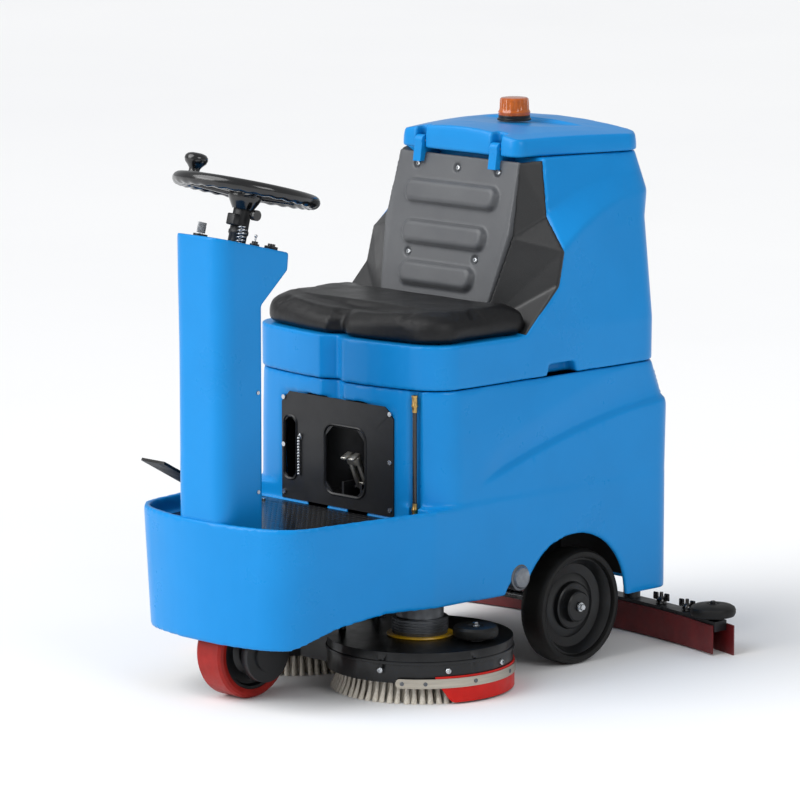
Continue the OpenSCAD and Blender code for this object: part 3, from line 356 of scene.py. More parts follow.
# Gum-rubber splash skirt: clear red, soft sheen.
RED_SKIRT = Finish(
    "red_gum_rubber", "red_skirt", "#CF1F18", "#BA1A14", 0.42, grain_mm=3.0, bump_mm=0.06, patch_mm=45.0,
    specular=0.2
)
# Linatex squeegee blade: dark red, matt.
RED_BLADE = Finish(
    "red_linatex_blade", "red_blade", "#6E1114", "#581014", 0.50, grain_mm=2.0, bump_mm=0.06, patch_mm=30.0
)
# Nylon bristles: off-white filaments, each a little different in tone.
BRISTLE = Finish(
    "nylon_bristle", "bristle_nylon", "#E2DCD0", "#B5AC9C", 0.48, grain_mm=1.2, bump_mm=0.35, patch_mm=5.0,
    stretch=(2.2, 2.2, 0.12)
)
# Injection-moulded acrylic beacon lens: deep amber, clear gloss.
AMBER_LENS = Finish(
    "amber_acrylic", "amber_lens", "#D06404", "#B65204", 0.10, grain_mm=3.0, bump_mm=0.02, patch_mm=12.0,
    transmission=0.25, ior=1.49, coat=0.6, coat_roughness=0.04, glow=0.06
)
# Sight tube: clear PVC gone smoky, with dark water behind it.
SIGHT_TUBE = Finish(
    "smoked_pvc_tube", "black_plastic", "#2A2624", "#3A332E", 0.14, grain_mm=3.0, bump_mm=0.02, patch_mm=20.0,
    transmission=0.3, ior=1.5
)
# Turned brass hose tails: warm, bright on the edges.
BRASS = Finish(
    "turned_brass", "brass_fitting", "#C8A568", "#AE8B50", 0.30, metallic=1.0, grain_mm=1.0, bump_mm=0.02,
    patch_mm=10.0
)
# Clear polycarbonate filter bowl: cloudy, with the strainer's shade inside.
CLEAR_BOWL = Finish(
    "clear_polycarbonate", "grey_metal", "#8B9198", "#70777F", 0.12, grain_mm=4.0, bump_mm=0.05,
    patch_mm=12.0, transmission=0.35, ior=1.58, coat=0.4
)
# Polypropylene battery case: dull black-grey.
BATTERY_CASE = Finish(
    "polypropylene_case", "black_plastic", "#26282B", "#303236", 0.5, grain_mm=1.6, bump_mm=0.05
)
# Anodised lever: pale champagne grey, fine brushing.
PALE_METAL = Finish(
    "anodised_lever", "grey_metal", "#C9C7C0", "#B5B2AA", 0.32, metallic=0.9, grain_mm=1.0, bump_mm=0.03,
    patch_mm=18.0, stretch=(1.0, 1.0, 0.2)
)
# Yellow seat ring under the brush motor: plain stoved enamel, soft gloss.
YELLOW_ENAMEL = Finish(
    "yellow_enamel", "grey_metal", "#D9A91C", "#C49714", 0.35, grain_mm=2.0, bump_mm=0.03, patch_mm=20.0
)
# Phenolic grip and knob: deep gloss black.
GLOSS_BLACK = Finish(
    "gloss_black_phenolic", "black_plastic", "#0A0A0B", "#0F0F11", 0.20, grain_mm=2.5, bump_mm=0.015,
    patch_mm=40.0, gloss_drift=0.03, coat=0.35, coat_roughness=0.08
)


# --------------------
# Mesh helpers
# --------------------


def ring(bm: Mesh, points: Sequence[Point]) -> list[bmesh.types.BMEdge]:
    """Adds a closed loop of edges through the points.

    Args:
        bm: The mesh being built.
        points: The loop's corners in order.

    Returns:
        The loop's edges.
    """
    corners = [bm.verts.new(Vector(p)) for p in points]
    pairs = zip(corners, corners[1:] + corners[:1])
    return [bm.edges.new(pair) for pair in pairs]


def loft(bm: Mesh, sections: Sequence[Sequence[Point]], capped: bool = True) -> None:
    """Bridges one closed section to the next and closes the two ends.

    Args:
        bm: The mesh being built.
        sections: Loops with the same number of points each.
        capped: Whether the first and last loops get a face.
    """
    loops = [ring(bm, section) for section in sections]
    for low, high in zip(loops, loops[1:]):
        bmesh.ops.bridge_loops(bm, edges=low + high)
    if capped:
        for end in (loops[0], loops[-1]):
            bmesh.ops.contextual_create(bm, geom=end)


def prism(bm: Mesh, outline: Profile, axis: Axis, low: float, high: float) -> None:
    """Draws a flat outline along one of the frame's directions.

    Args:
        bm: The mesh being built.
        outline: Corners in the plane across the axis, in the order of the
            two other directions.
        axis: The direction it is drawn along.
        low: Where it starts.
        high: Where it ends.
    """

    def placed(a: float, b: float, along: float) -> Place:
        """Puts an outline corner at a place along the axis."""
        if axis is Axis.X:
            return (along, a, b)
        if axis is Axis.Y:
            return (a, along, b)
        return (a, b, along)

    loft(bm, [[placed(a, b, along) for a, b in outline] for along in (low, high)])


def lathe(
    bm: Mesh, profile: Profile, centre: Point, axis: Axis = Axis.Z, steps: int = 64,
    matrix: Optional[Matrix] = None
) -> list[bmesh.types.BMVert]:
    """Spins an open profile of (radius, height) pairs into a closed turning.

    Args:
        bm: The mesh being built.
        profile: Radius and height along the axis, from one end to the other.
        centre: The point where height is zero.
        axis: The direction of the spindle.
        steps: How many steps the turn has.
        matrix: Turns the finished piece, before it is moved to its centre.

    Returns:
        The vertices of the turning.
    """
    before = set(bm.verts)
    points = [bm.verts.new((max(r, 0.0), 0.0, h)) for r, h in profile]
    edges = [bm.edges.new(pair) for pair in zip(points, points[1:])]
    bmesh.ops.spin(
        bm, geom=points + edges, cent=(0, 0, 0), axis=(0, 0, 1), angle=TURN, steps=steps, use_merge=True,
        use_duplicate=False
    )
    made = [v for v in bm.verts if v not in before]
    bmesh.ops.remove_doubles(bm, verts=made, dist=1e-6)
    made = [v for v in bm.verts if v not in before]
    turn = {
        Axis.X: Matrix.Rotation(math.pi / 2, 4, "Y"), Axis.Y: Matrix.Rotation(-math.pi / 2, 4, "X"),
        Axis.Z: Matrix.Identity(4)
    }[axis]
    place = Matrix.Translation(Vector(centre)) @ (matrix or Matrix.Identity(4)) @ turn
    bmesh.ops.transform(bm, matrix=place, verts=made)
    return made


def block(
    bm: Mesh, low: Point, high: Point, radius: float = 0.0, matrix: Optional[Matrix] = None, segments: int = 3
) -> list[bmesh.types.BMVert]:
    """Adds a rectangular block with rounded edges.

    Args:
        bm: The mesh being built.
        low: Lowest corner.
        high: Highest corner.
        radius: Edge rounding.
        matrix: Turns or moves the block after it is sized.
        segments: Steps across each rounded edge.

    Returns:
        The block's vertices.
    """
    before = set(bm.verts)
    made = bmesh.ops.create_cube(bm, size=1.0)["verts"]
    size = Vector(high) - Vector(low)
    middle = (Vector(high) + Vector(low)) / 2
    bmesh.ops.scale(bm, vec=size, verts=made)
    bmesh.ops.translate(bm, vec=middle, verts=made)
    if radius > 0:
        edges = list({e for v in made for e in v.link_edges})
        bmesh.ops.bevel(
            bm, geom=edges, offset=radius, segments=segments, profile=0.5, affect="EDGES", material=-1
        )
    made = [v for v in bm.verts if v not in before]
    if matrix:
        bmesh.ops.transform(bm, matrix=matrix, verts=made)
    return made


def sweep(bm: Mesh, path: Sequence[Point], radius: float, sides: int = 12, flat: float = 1.0) -> None:
    """Draws a round or flattened bar along a path.

    Args:
        bm: The mesh being built.
        path: Points along the middle of the bar.
        radius: Half the bar's width.
        sides: Points round the bar.
        flat: Thickness as a share of the width.
    """
    points = [Vector(p) for p in path]
    side = Vector((0, 0, 1))
    sections = []
    for i, point in enumerate(points):
        ahead = (points[min(i + 1, len(points) - 1)] - points[max(i - 1, 0)]).normalized()
        if abs(ahead.dot(side)) > 0.98:
            side = Vector((1, 0, 0))
        across = ahead.cross(side).normalized()
        up = across.cross(ahead).normalized()
        side = up
        sections.append(
            [
                point + across * (radius * math.cos(TURN * k / sides)) + up * (
                    radius * flat * math.sin(TURN * k / sides)
                ) for k in range(sides)
            ]
        )
    loft(bm, sections)


def hex_bolt(bm: Mesh, place: Point, toward: Point, size: float, socket: bool = False) -> None:
    """Adds a domed bolt head with a socket or a hexagon on a washer.

    Args:
        bm: The mesh being built.
        place: Where the head sits.
        toward: The direction the head faces.
        size: Width of the head.
        socket: Whether the head is round with a hexagon hole.
    """
    turn = Vector(toward).to_track_quat("Z", "Y").to_matrix().to_4x4()
    r = size / 2
    if socket:
        head = [(0.0, 0.10 * size), (0.22 * size, 0.10 * size), (0.24 * size, 0.34 * size)]
        head += [(0.34 * size, 0.33 * size), (0.46 * size, 0.22 * size), (r, 0.04 * size), (r, -0.1 * size)]
        lathe(bm, head + [(0.0, -0.1 * size)], place, steps=20, matrix=turn)
        return
    lathe(
        bm,
        [(0.0, 0.08 * size), (0.98 * r, 0.08 * size), (r, 0.05 * size), (r, -0.1 * size), (0.0, -0.1 * size)],
        place, steps=24, matrix=turn
    )
    lathe(
        bm,
        [(0.0, 0.46 * size), (0.55 * r, 0.46 * size), (0.72 * r, 0.38 * size), (0.72 * r, 0.0), (0.0, 0.0)],
        place, steps=6, matrix=turn
    )


def smoothstep(low: float, high: float, value: float) -> float:
    """Rises from 0 at low to 1 at high with soft ends."""
    t = min(1.0, max(0.0, (value - low) / (high - low)))
    return t * t * (3 - 2 * t)


def arc_points(centre: tuple[float, float], radius: float, start: float, end: float, steps: int) -> list:
    """Gives points on an arc, ends included.

    Args:
        centre: Middle of the arc.
        radius: The arc's radius.
        start: First angle in degrees.
        end: Last angle in degrees.
        steps: How many chords it has.

    Returns:
        A list of (a, b) pairs.
    """
    angles = [math.radians(start + (end - start) * i / steps) for i in range(steps + 1)]
    return [(centre[0] + radius * math.cos(a), centre[1] + radius * math.sin(a)) for a in angles]


def round_rect(half_a: float, half_b: float, radius: float, steps: int = 6) -> list:
    """Gives the outline of a rounded rectangle about the origin.

    Args:
        half_a: Half its width.
        half_b: Half its height.
        radius: Corner radius.
        steps: Chords in each corner.

    Returns:
        A list of (a, b) pairs.
    """
    outline = []
    for sa, sb, start in ((1, 1, 0), (-1, 1, 90), (-1, -1, 180), (1, -1, 270)):
        centre = (sa * (half_a - radius), sb * (half_b - radius))
        outline += arc_points(centre, radius, start, start + 90, steps)
    return outline


class Kit:
    """Turns a finished bmesh into an object and keeps the frame's rules."""

    @staticmethod
    def raw(name: str, bm: Mesh) -> Piece:
        """Makes a plain object from the mesh, faces turned outwards.

        Args:
            name: The object's name.
            bm: The mesh, which is freed.

        Returns:
            The new object.
        """
        bmesh.ops.recalc_face_normals(bm, faces=bm.faces)
        mesh = bpy.data.meshes.new(name)
        bm.to_mesh(mesh)
        bm.free()
        made = bpy.data.objects.new(name, mesh)
        bpy.context.scene.collection.objects.link(made)
        return made

    @staticmethod
    def apply(piece: Piece) -> None:
        """Applies every modifier of the piece to its mesh."""
        graph = bpy.context.evaluated_depsgraph_get()
        graph.update()
        mesh = bpy.data.meshes.new_from_object(piece.evaluated_get(graph))
        old = piece.data
        piece.modifiers.clear()
        piece.data = mesh
        bpy.data.meshes.remove(old)

    @staticmethod
    def boolean(piece: Piece, cutters: Sequence[Mesh], operation: str = "DIFFERENCE") -> None:
        """Cuts or joins other solids, one after the other.

        Args:
            piece: The piece that is cut.
            cutters: The meshes, which are freed.
            operation: Name of the boolean operation.
        """
        tools = []
        for i, cutter in enumerate(cutters):
            tool = Kit.raw("cutter_%d" % i, cutter)
            tools.append(tool)
            step = piece.modifiers.new("cut", "BOOLEAN")
            step.operation = operation
            step.solver = "EXACT"
            step.object = tool
        Kit.apply(piece)
        for tool in tools:
            mesh = tool.data
            bpy.data.objects.remove(tool)
            bpy.data.meshes.remove(mesh)

    @staticmethod
    def mould(piece: Piece, cell: float, passes: int, keep: float = 1.0) -> None:
        """Rounds every edge as a mould does, by an even skin and smoothing.

        Args:
            piece: The closed solid.
            cell: Size of the even skin's faces.
            passes: Smoothing passes; the radius grows with their root.
            keep: Share of the faces that stays after flat ones merge.
        """
        skin = piece.modifiers.new("skin", "REMESH")
        skin.mode = "VOXEL"
        skin.voxel_size = cell
        skin.use_smooth_shade = True
        soft = piece.modifiers.new("soft", "SMOOTH")
        soft.factor = 0.5
        soft.iterations = passes
        Kit.apply(piece)
        if keep < 1.0:
            Kit.thin(piece, keep)

    @staticmethod
    def thin(piece: Piece, keep: float) -> None:
        """Merges the flat faces of a skin until the given share is left.

        Args:
            piece: The piece.
            keep: Share of the faces that stays.
        """
        fewer = piece.modifiers.new("thin", "DECIMATE")
        fewer.ratio = keep
        Kit.apply(piece)

    @staticmethod
    def bevel(piece: Piece, width: float, angle: float = 35.0, segments: int = 3) -> None:
        """Adds a live edge rounding with shaded faces kept flat.

        Args:
            piece: The piece.
            width: Width of the rounding.
            angle: Smallest angle in degrees that is rounded.
            segments: Steps across the rounding.
        """
        edge = piece.modifiers.new("edges", "BEVEL")
        edge.width = width
        edge.segments = segments
        edge.limit_method = "ANGLE"
        edge.angle_limit = math.radians(angle)
        edge.harden_normals = True

    @staticmethod
    def dress(
        piece: Piece, body: str, finish: Finish, smooth: Optional[float] = SHARP,
        stands_for: Sequence[str] = (), slot: str = ""
    ) -> Piece:
        """Gives a piece its finish and its body, and hides the frame nodes it replaces.

        Args:
            piece: The piece.
            body: The body that carries it.
            finish: Its surface.
            smooth: Angle in degrees above which an edge stays sharp, or None.
            stands_for: The frame nodes that it replaces.
            slot: The record's slot where it is not the finish's own; not used.

        Returns:
            The same piece.
        """
        piece.data.materials.clear()
        piece.data.materials.append(finish.material())
        if smooth is not None:
            bm = bmesh.new()
            bm.from_mesh(piece.data)
            limit = math.radians(smooth)
            for face in bm.faces:
                face.smooth = True
            for edge in bm.edges:
                edge.smooth = not (edge.is_manifold and edge.calc_face_angle(0.0) > limit)
            bm.to_mesh(piece.data)
            bm.free()
        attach(piece, body)
        if stands_for:
            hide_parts(*stands_for)
        LOG.info("%s: %d faces on %s", piece.name, len(piece.data.polygons), body)
        return piece

    @staticmethod
    def piece(
        name: str, bm: Mesh, body: str, finish: Finish, smooth: float = SHARP, bevel: float = 0.0,
        stands_for: Sequence[str] = (), slot: str = ""
    ) -> Piece:
        """Makes, rounds and dresses a piece in one step.

        Args:
            name: The piece's name.
            bm: Its mesh, which is freed.
            body: The body that carries it.
            finish: Its surface.
            smooth: Angle in degrees above which an edge stays sharp.
            bevel: Width of a live edge rounding, or 0 for none.
            stands_for: The frame nodes that it replaces.
            slot: The record's slot where it is not the finish's own.

        Returns:
            The dressed piece.
        """
        made = Kit.dress(Kit.raw(name, bm), body, finish, smooth, stands_for, slot)
        if bevel > 0:
            Kit.bevel(made, bevel)
        return made

    @staticmethod
    def carry(finish: Finish, bevel_mm: float, *names: str) -> None:
        """Keeps frame nodes and gives them a finish and rounded edges.

        Args:
            finish: Their surface.
            bevel_mm: Width of the edge rounding in millimetres.
            names: The frame nodes.
        """
        for name in names:
            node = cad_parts[name]
            node.data.materials.clear()
            node.data.materials.append(finish.material())
            weld = node.modifiers.new("weld", "WELD")
            weld.merge_threshold = 1e-5
            Kit.bevel(node, bevel_mm * MM, SHARP, 2)


# --------------------
# Studio
# --------------------


@dataclass
class Studio:
    """A pale floor, soft lamps and the camera."""

    azimuth: float = 45.0
    elevation: float = 9.5
    distance: float = 10.67
    lens: float = 225.0
    sensor: float = 36.0
    target: Place = (0.0, -0.0156, 0.5700)
    floor_half: float = 60.0
    room_colour: str = "#F4F6F8"
    room_strength: float = 0.52
    sun_strength: float = 2.45
    sun_width: float = 55.0
    sun_travel: Place = (0.32, 0.62, -0.71)
    front_lamp: Place = (-2.8, -6.8, 3.0)
    side_lamp: Place = (6.6, -1.4, 4.6)

    def build(self) -> None:
        """Places the camera, the floor, the lamps and the surrounding light."""
        self._camera()
        self._floor()
        self._sun()
        self._lamp("front_lamp", self.front_lamp, 4.2, 3.2, 135.0)
        self._lamp("side_lamp", self.side_lamp, 3.4, 2.8, 120.0)
        world = bpy.data.worlds.new("soft_room")
        world.use_nodes = True
        sky = world.node_tree.nodes["Background"]
        sky.inputs["Color"].default_value = linear(self.room_colour)
        sky.inputs["Strength"].default_value = self.room_strength
        bpy.context.scene.world = world
        bpy.context.scene.view_settings.view_transform = "Standard"

    def _camera(self) -> None:
        """Places the camera on its arc round the target."""
        camera = bpy.data.cameras.new("camera")
        camera.lens = self.lens
        camera.sensor_width = self.sensor
        camera.clip_end = 200.0
        turn, rise = math.radians(self.azimuth), math.radians(self.elevation)
        away = Vector((math.sin(turn) * math.cos(rise), -math.cos(turn) * math.cos(rise), math.sin(rise)))
        holder = bpy.data.objects.new("camera", camera)
        holder.location = Vector(self.target) + away * self.distance
        holder.rotation_euler = (-away).to_track_quat("-Z", "Y").to_euler()
        bpy.context.scene.collection.objects.link(holder)
        bpy.context.scene.camera = holder

    def _floor(self) -> None:
        """Lays the pale floor."""
        bm = bmesh.new()
        bmesh.ops.create_grid(bm, x_segments=1, y_segments=1, size=self.floor_half)
        floor = Kit.raw("studio_floor", bm)
        paint = Finish(
            "matt_floor_paint", "", "#F7F7F7", "#F5F5F6", 0.75, grain_mm=40.0, bump_mm=0.0, patch_mm=4000.0
        )
        floor.data.materials.append(paint.material())

    def _sun(self) -> None:
        """Hangs the broad high light that whitens the floor evenly."""
        light = bpy.data.lights.new("high_softbox", "SUN")
        light.energy = self.sun_strength
        light.angle = math.radians(self.sun_width)
        holder = bpy.data.objects.new("high_softbox", light)
        holder.rotation_euler = Vector(self.sun_travel).to_track_quat("-Z", "Y").to_euler()
        bpy.context.scene.collection.objects.link(holder)

    def _lamp(self, name: str, place: Point, width: float, height: float, power: float) -> None:
        """Hangs one rectangular soft lamp that faces the object.

        Args:
            name: The lamp's name.
            place: Where it hangs.
            width: Its width.
            height: Its height.
            power: Its power in watts.
        """
        light = bpy.data.lights.new(name, "AREA")
        light.shape = "RECTANGLE"
        light.size = width
        light.size_y = height
        light.energy = power
        holder = bpy.data.objects.new(name, light)
        holder.location = place
        aim = Vector(self.target) - Vector(place)
        holder.rotation_euler = aim.to_track_quat("-Z", "Y").to_euler()
        bpy.context.scene.collection.objects.link(holder)


# --------------------
# Blue shells
# --------------------


@dataclass
class BodyPlan:
    """Plan sizes that the blue shells share."""

    tail: float = 0.516
    box_front: float = -0.200
    box_corner: float = 0.072
    rear_corner: float = 0.050
    front_half: float = 0.290
    rear_half: float = 0.310
    low: float = 0.134
    rim: float = 0.390
    floor: float = 0.355
    split: float = 0.635
    wall: float = 0.014
    front_bow: float = 1.9

    def plan(
        self, front: float, rear: float, half_front: float, half_rear: float, inset: float = 0.0,
        corner_front: Optional[float] = None, corner_rear: Optional[float] = None, sides: int = 14,
        bow: float = 0.0
    ) -> Outline:
        """Gives a closed plan outline of the box or the tank.

        Args:
            front: Where the front wall stands.
            rear: Where the rear wall stands.
            half_front: Half the width at the front.
            half_rear: Half the width at the rear.
            inset: How far inside the outline is drawn.
            corner_front: Radius of the front corners.
            corner_rear: Radius of the rear corners.
            sides: Chords along each side.
            bow: Twice the radius of the bowed front, or 0 for a flat one.

        Returns:
            Points in order, starting at the middle of the front.
        """
        rf = max(0.004, (self.box_corner if corner_front is None else corner_front) - inset)
        rr = max(0.004, (self.rear_corner if corner_rear is None else corner_rear) - inset)
        front, rear = front + inset, rear - inset
        hf, hr = half_front - inset, half_rear - inset
        start = hf - rf
        sag = start * start / bow if bow else 0.0
        half = [(start * k / 6, front + (start * k / 6) ** 2 / bow if bow else front) for k in range(1, 6)]
        lean = math.degrees(math.atan(2 * start / bow)) if bow else 0.0
        centre = (start - rf * math.sin(math.radians(lean)), front + sag + rf * math.cos(math.radians(lean)))
        turned = arc_points(centre, rf, lean - 90, 0, 8)
        shift = hf - turned[-1][0]
        half += [(x + shift * i / 8, y) for i, (x, y) in enumerate(turned)]
        front = turned[-1][1] - rf
        y0, y1 = front + rf, rear - rr
        for i in range(1, sides):
            t = i / sides
            half.append((hf + (hr - hf) * t, y0 + (y1 - y0) * t))
        half += arc_points((hr - rr, rear - rr), rr, 0, 90, 8)
        half += [(hr * 0.66, rear), (hr * 0.33, rear)]
        return [(0.0, front)] + half + [(0.0, rear)] + [(-x, y) for x, y in reversed(half)]


@dataclass
class LowerBody(BodyPlan):
    """The rotomoulded base: a bow-nosed tub in front and the battery box behind."""

    nose: float = -0.612
    nose_half: float = 0.235
    nose_corner: float = 0.066
    bow: float = 1.120
    lean: float = 0.019
    shoulder_z: float = 0.540
    shoulder_y: float = 0.521
    split_tail: float = 0.486
    split_half: float = 0.297
    arch: Place = (0.214, 0.132, 0.157)
    filter_notch: Place = (0.050, 0.172, 0.042)
    level_tube: tuple[float, float] = (0.222, -0.194)
    cell: float = 0.005

    def _tub(self, z: float, inset: float = 0.0, tail: Optional[float] = None) -> list[Place]:
        """Gives the full-length outline at a height.

        Args:
            z: The height.
            inset: How far inside it is drawn.
            tail: Where it stops, or None for the box's rear wall.

        Returns:
            Closed outline with rounded nose corners.
        """
        lean = self.lean * (self.rim - z) / (self.rim - self.low)
        reach = self.nose_half - lean
        r = self.nose_corner
        nose_y = self.nose + 0.4 * lean
        bow = [(x, nose_y + x * x / self.bow) for x in [(reach - r) * k / 5 for k in range(6)]]
        edge_y = nose_y + reach * reach / self.bow
        side_x = self.front_half - 0.3 * lean
        corner = Vector((reach, edge_y))
        before = (corner - Vector(bow[-1])).normalized()
        after = (Vector((side_x, self.box_front)) - corner).normalized()
        rounded = []
        for k in range(9):
            t = k / 8
            a = corner - before * r * (1 - t)
            b = corner + after * r * t
            rounded.append(tuple(a.lerp(b, t)))
        half = bow[:-1] + rounded
        end = self.tail if tail is None else tail
        if tail is None:
            rr = self.rear_corner
            half += [(side_x, self.box_front), (self.front_half + 0.010, 0.15)]
            half += arc_points((self.rear_half - rr, end - rr), rr, 0, 90, 8)
            half += [(0.14, end)]
        else:
            half += [(side_x, end)]
        outline = half + [(0.0, end)] + [(-x, y) for x, y in reversed(half[1:])]
        if inset:
            outline = self._shrink(outline, inset)
        return [(x, y, z) for x, y in outline]

    @staticmethod
    def _shrink(outline: Sequence[tuple[float, float]], inset: float) -> Outline:
        """Moves every corner of an outline inwards.

        Args:
            outline: The closed outline, counter-clockwise.
            inset: How far each side moves.

        Returns:
            The smaller outline.
        """
        moved = []
        count = len(outline)
        for i, point in enumerate(outline):
            here = Vector(point)
            last = Vector(outline[i - 1])
            ahead = Vector(outline[(i + 1) % count])
            na = Vector((-(here - last).y, (here - last).x)).normalized()
            nb = Vector((-(ahead - here).y, (ahead - here).x)).normalized()
            inward = (na + nb).normalized()
            moved.append(tuple(here + inward * inset / max(0.5, inward.dot(na))))
        return moved

    def _box(self, low: float, high: float, inset: float) -> Mesh:
        """Gives the battery box as a solid, or its cavity.

        Args:
            low: Where it starts.
            high: Where it ends.
            inset: How far inside the outer face it is drawn.

        Returns:
            The solid's mesh.
        """
        levels = [(low, self.tail, self.front_half, self.rear_half)]
        if high < self.shoulder_z:
            levels.append((high, self.tail, self.front_half, self.rear_half))
        else:
            levels.append((self.shoulder_z, self.shoulder_y, self.front_half - 0.002, self.rear_half - 0.001))
            levels.append((self.split, self.split_tail, self.front_half - 0.006, self.split_half))
        if high > self.split:
            levels.append((high, self.split_tail, self.front_half - 0.006, self.split_half))
        bm = bmesh.new()
        loft(
            bm, [
                [
                    (x, y, z)
                    for x, y in self.plan(self.box_front - 0.018, rear, hf, hr, inset, bow=self.front_bow)
                ] for z, rear, hf, hr in levels
            ]
        )
        return bm

    def _side_swoosh(self, piece: Piece) -> None:
        """Presses the long curved band into both flanks.

        Args:
            piece: The moulded body.
        """
        for vertex in piece.data.vertices:
            x, y, z = vertex.co
            if abs(x) < 0.275 or not -0.12 < y < 0.60 or z < 0.40:
                continue
            t = (y + 0.075) / 0.60
            lower = 0.425 + 0.128 * (1 - (1 - min(1.0, max(0.0, t))) ** 1.7)
            upper = lower + 0.045 + 0.045 * t
            ends = smoothstep(-0.08, 0.02, y) * (1 - smoothstep(0.50, 0.58, y))
            press = smoothstep(lower - 0.004, lower + 0.005, z)
            press *= 1 - smoothstep(lower + 0.010, upper + 0.020, z)
            vertex.co.x -= math.copysign(0.0075 * press * ends, x)

    def _paint_inside_shade(self, piece: Piece, outside: BVHTree) -> None:
        """Paints shade black on every face under the floor that lies inside the uncut form.

        Args:
            piece: The moulded body.
            outside: The form before its cavities were cut.
        """
        piece.data.materials.append(INSIDE_PAINTED_SHADE.material())
        for face in piece.data.polygons:
            if face.center.z < self.floor - 0.012 and outside.find_nearest(face.center)[3] > 0.0075:
                # Painted shade: the inner face takes the flat black second material.
                face.material_index = 1

    def build(self) -> None:
        """Makes the shell, cuts its openings and presses in its flank band."""
        bm = bmesh.new()
        loft(bm, [self._tub(z) for z in (self.low, self.rim)])
        body = Kit.raw("lower_body_shell", bm)
        Kit.boolean(body, [self._box(self.rim - 0.010, self.split, 0.0006)], "UNION")
        whole = bmesh.new()
        whole.from_mesh(body.data)
        outside = BVHTree.FromBMesh(whole)
        whole.free()
        tools = []
        well = bmesh.new()
        inner_end = self.box_front + self.wall
        loft(well, [self._tub(z, self.wall, inner_end) for z in (self.floor, self.rim + 0.2)])
        tools.append(well)
        under = bmesh.new()
        loft(under, [self._tub(z, self.wall, inner_end + 0.03) for z in (-0.02, self.floor - self.wall)])
        tools.append(under)
        tools.append(self._box(-0.02, 0.290, self.wall))
        tools.append(self._box(0.306, self.split + 0.03, self.wall))
        deck = bmesh.new()
        notch = [(-0.556, -0.02), (-0.545, 0.132), (-0.525, 0.140), (-0.480, 0.155), (-0.430, 0.170)]
        notch += [(-0.322, 0.186), (0.114, 0.180), (0.114, -0.02)]
        prism(deck, notch, Axis.X, -0.5, 0.5)
        tools.append(deck)
        for y, z, r in (self.arch, self.filter_notch):
            round_cut = bmesh.new()
            bmesh.ops.create_cone(
                round_cut, cap_ends=True, segments=64, radius1=r, radius2=r, depth=1.2,
                matrix=Matrix.Translation((0, y, z)) @ Matrix.Rotation(math.pi / 2, 4, "Y")
            )
            tools.append(round_cut)
        window = bmesh.new()
        block(window, (-0.167, self.box_front - 0.02, 0.380), (0.140, self.box_front + 0.03, 0.585))
        tools.append(window)
        flat = bmesh.new()
        block(flat, (-0.171, self.box_front - 0.05, self.floor), (0.171, self.box_front, 0.598), 0.002)
        tools.append(flat)
        groove = bmesh.new()
        tube_x, tube_y = self.level_tube
        lathe(
            groove, [(0.0, self.floor), (0.013, self.floor), (0.013, 0.7), (0.0, 0.7)], (tube_x, tube_y, 0),
            steps=24
        )
        tools.append(groove)
        Kit.boolean(body, tools)
        Kit.mould(body, self.cell, 7)
        self._side_swoosh(body)
        Kit.thin(body, 0.45)
        Kit.dress(body, "machine", BLUE_SHELL, None, ["lower_body"])
        self._paint_inside_shade(body, outside)


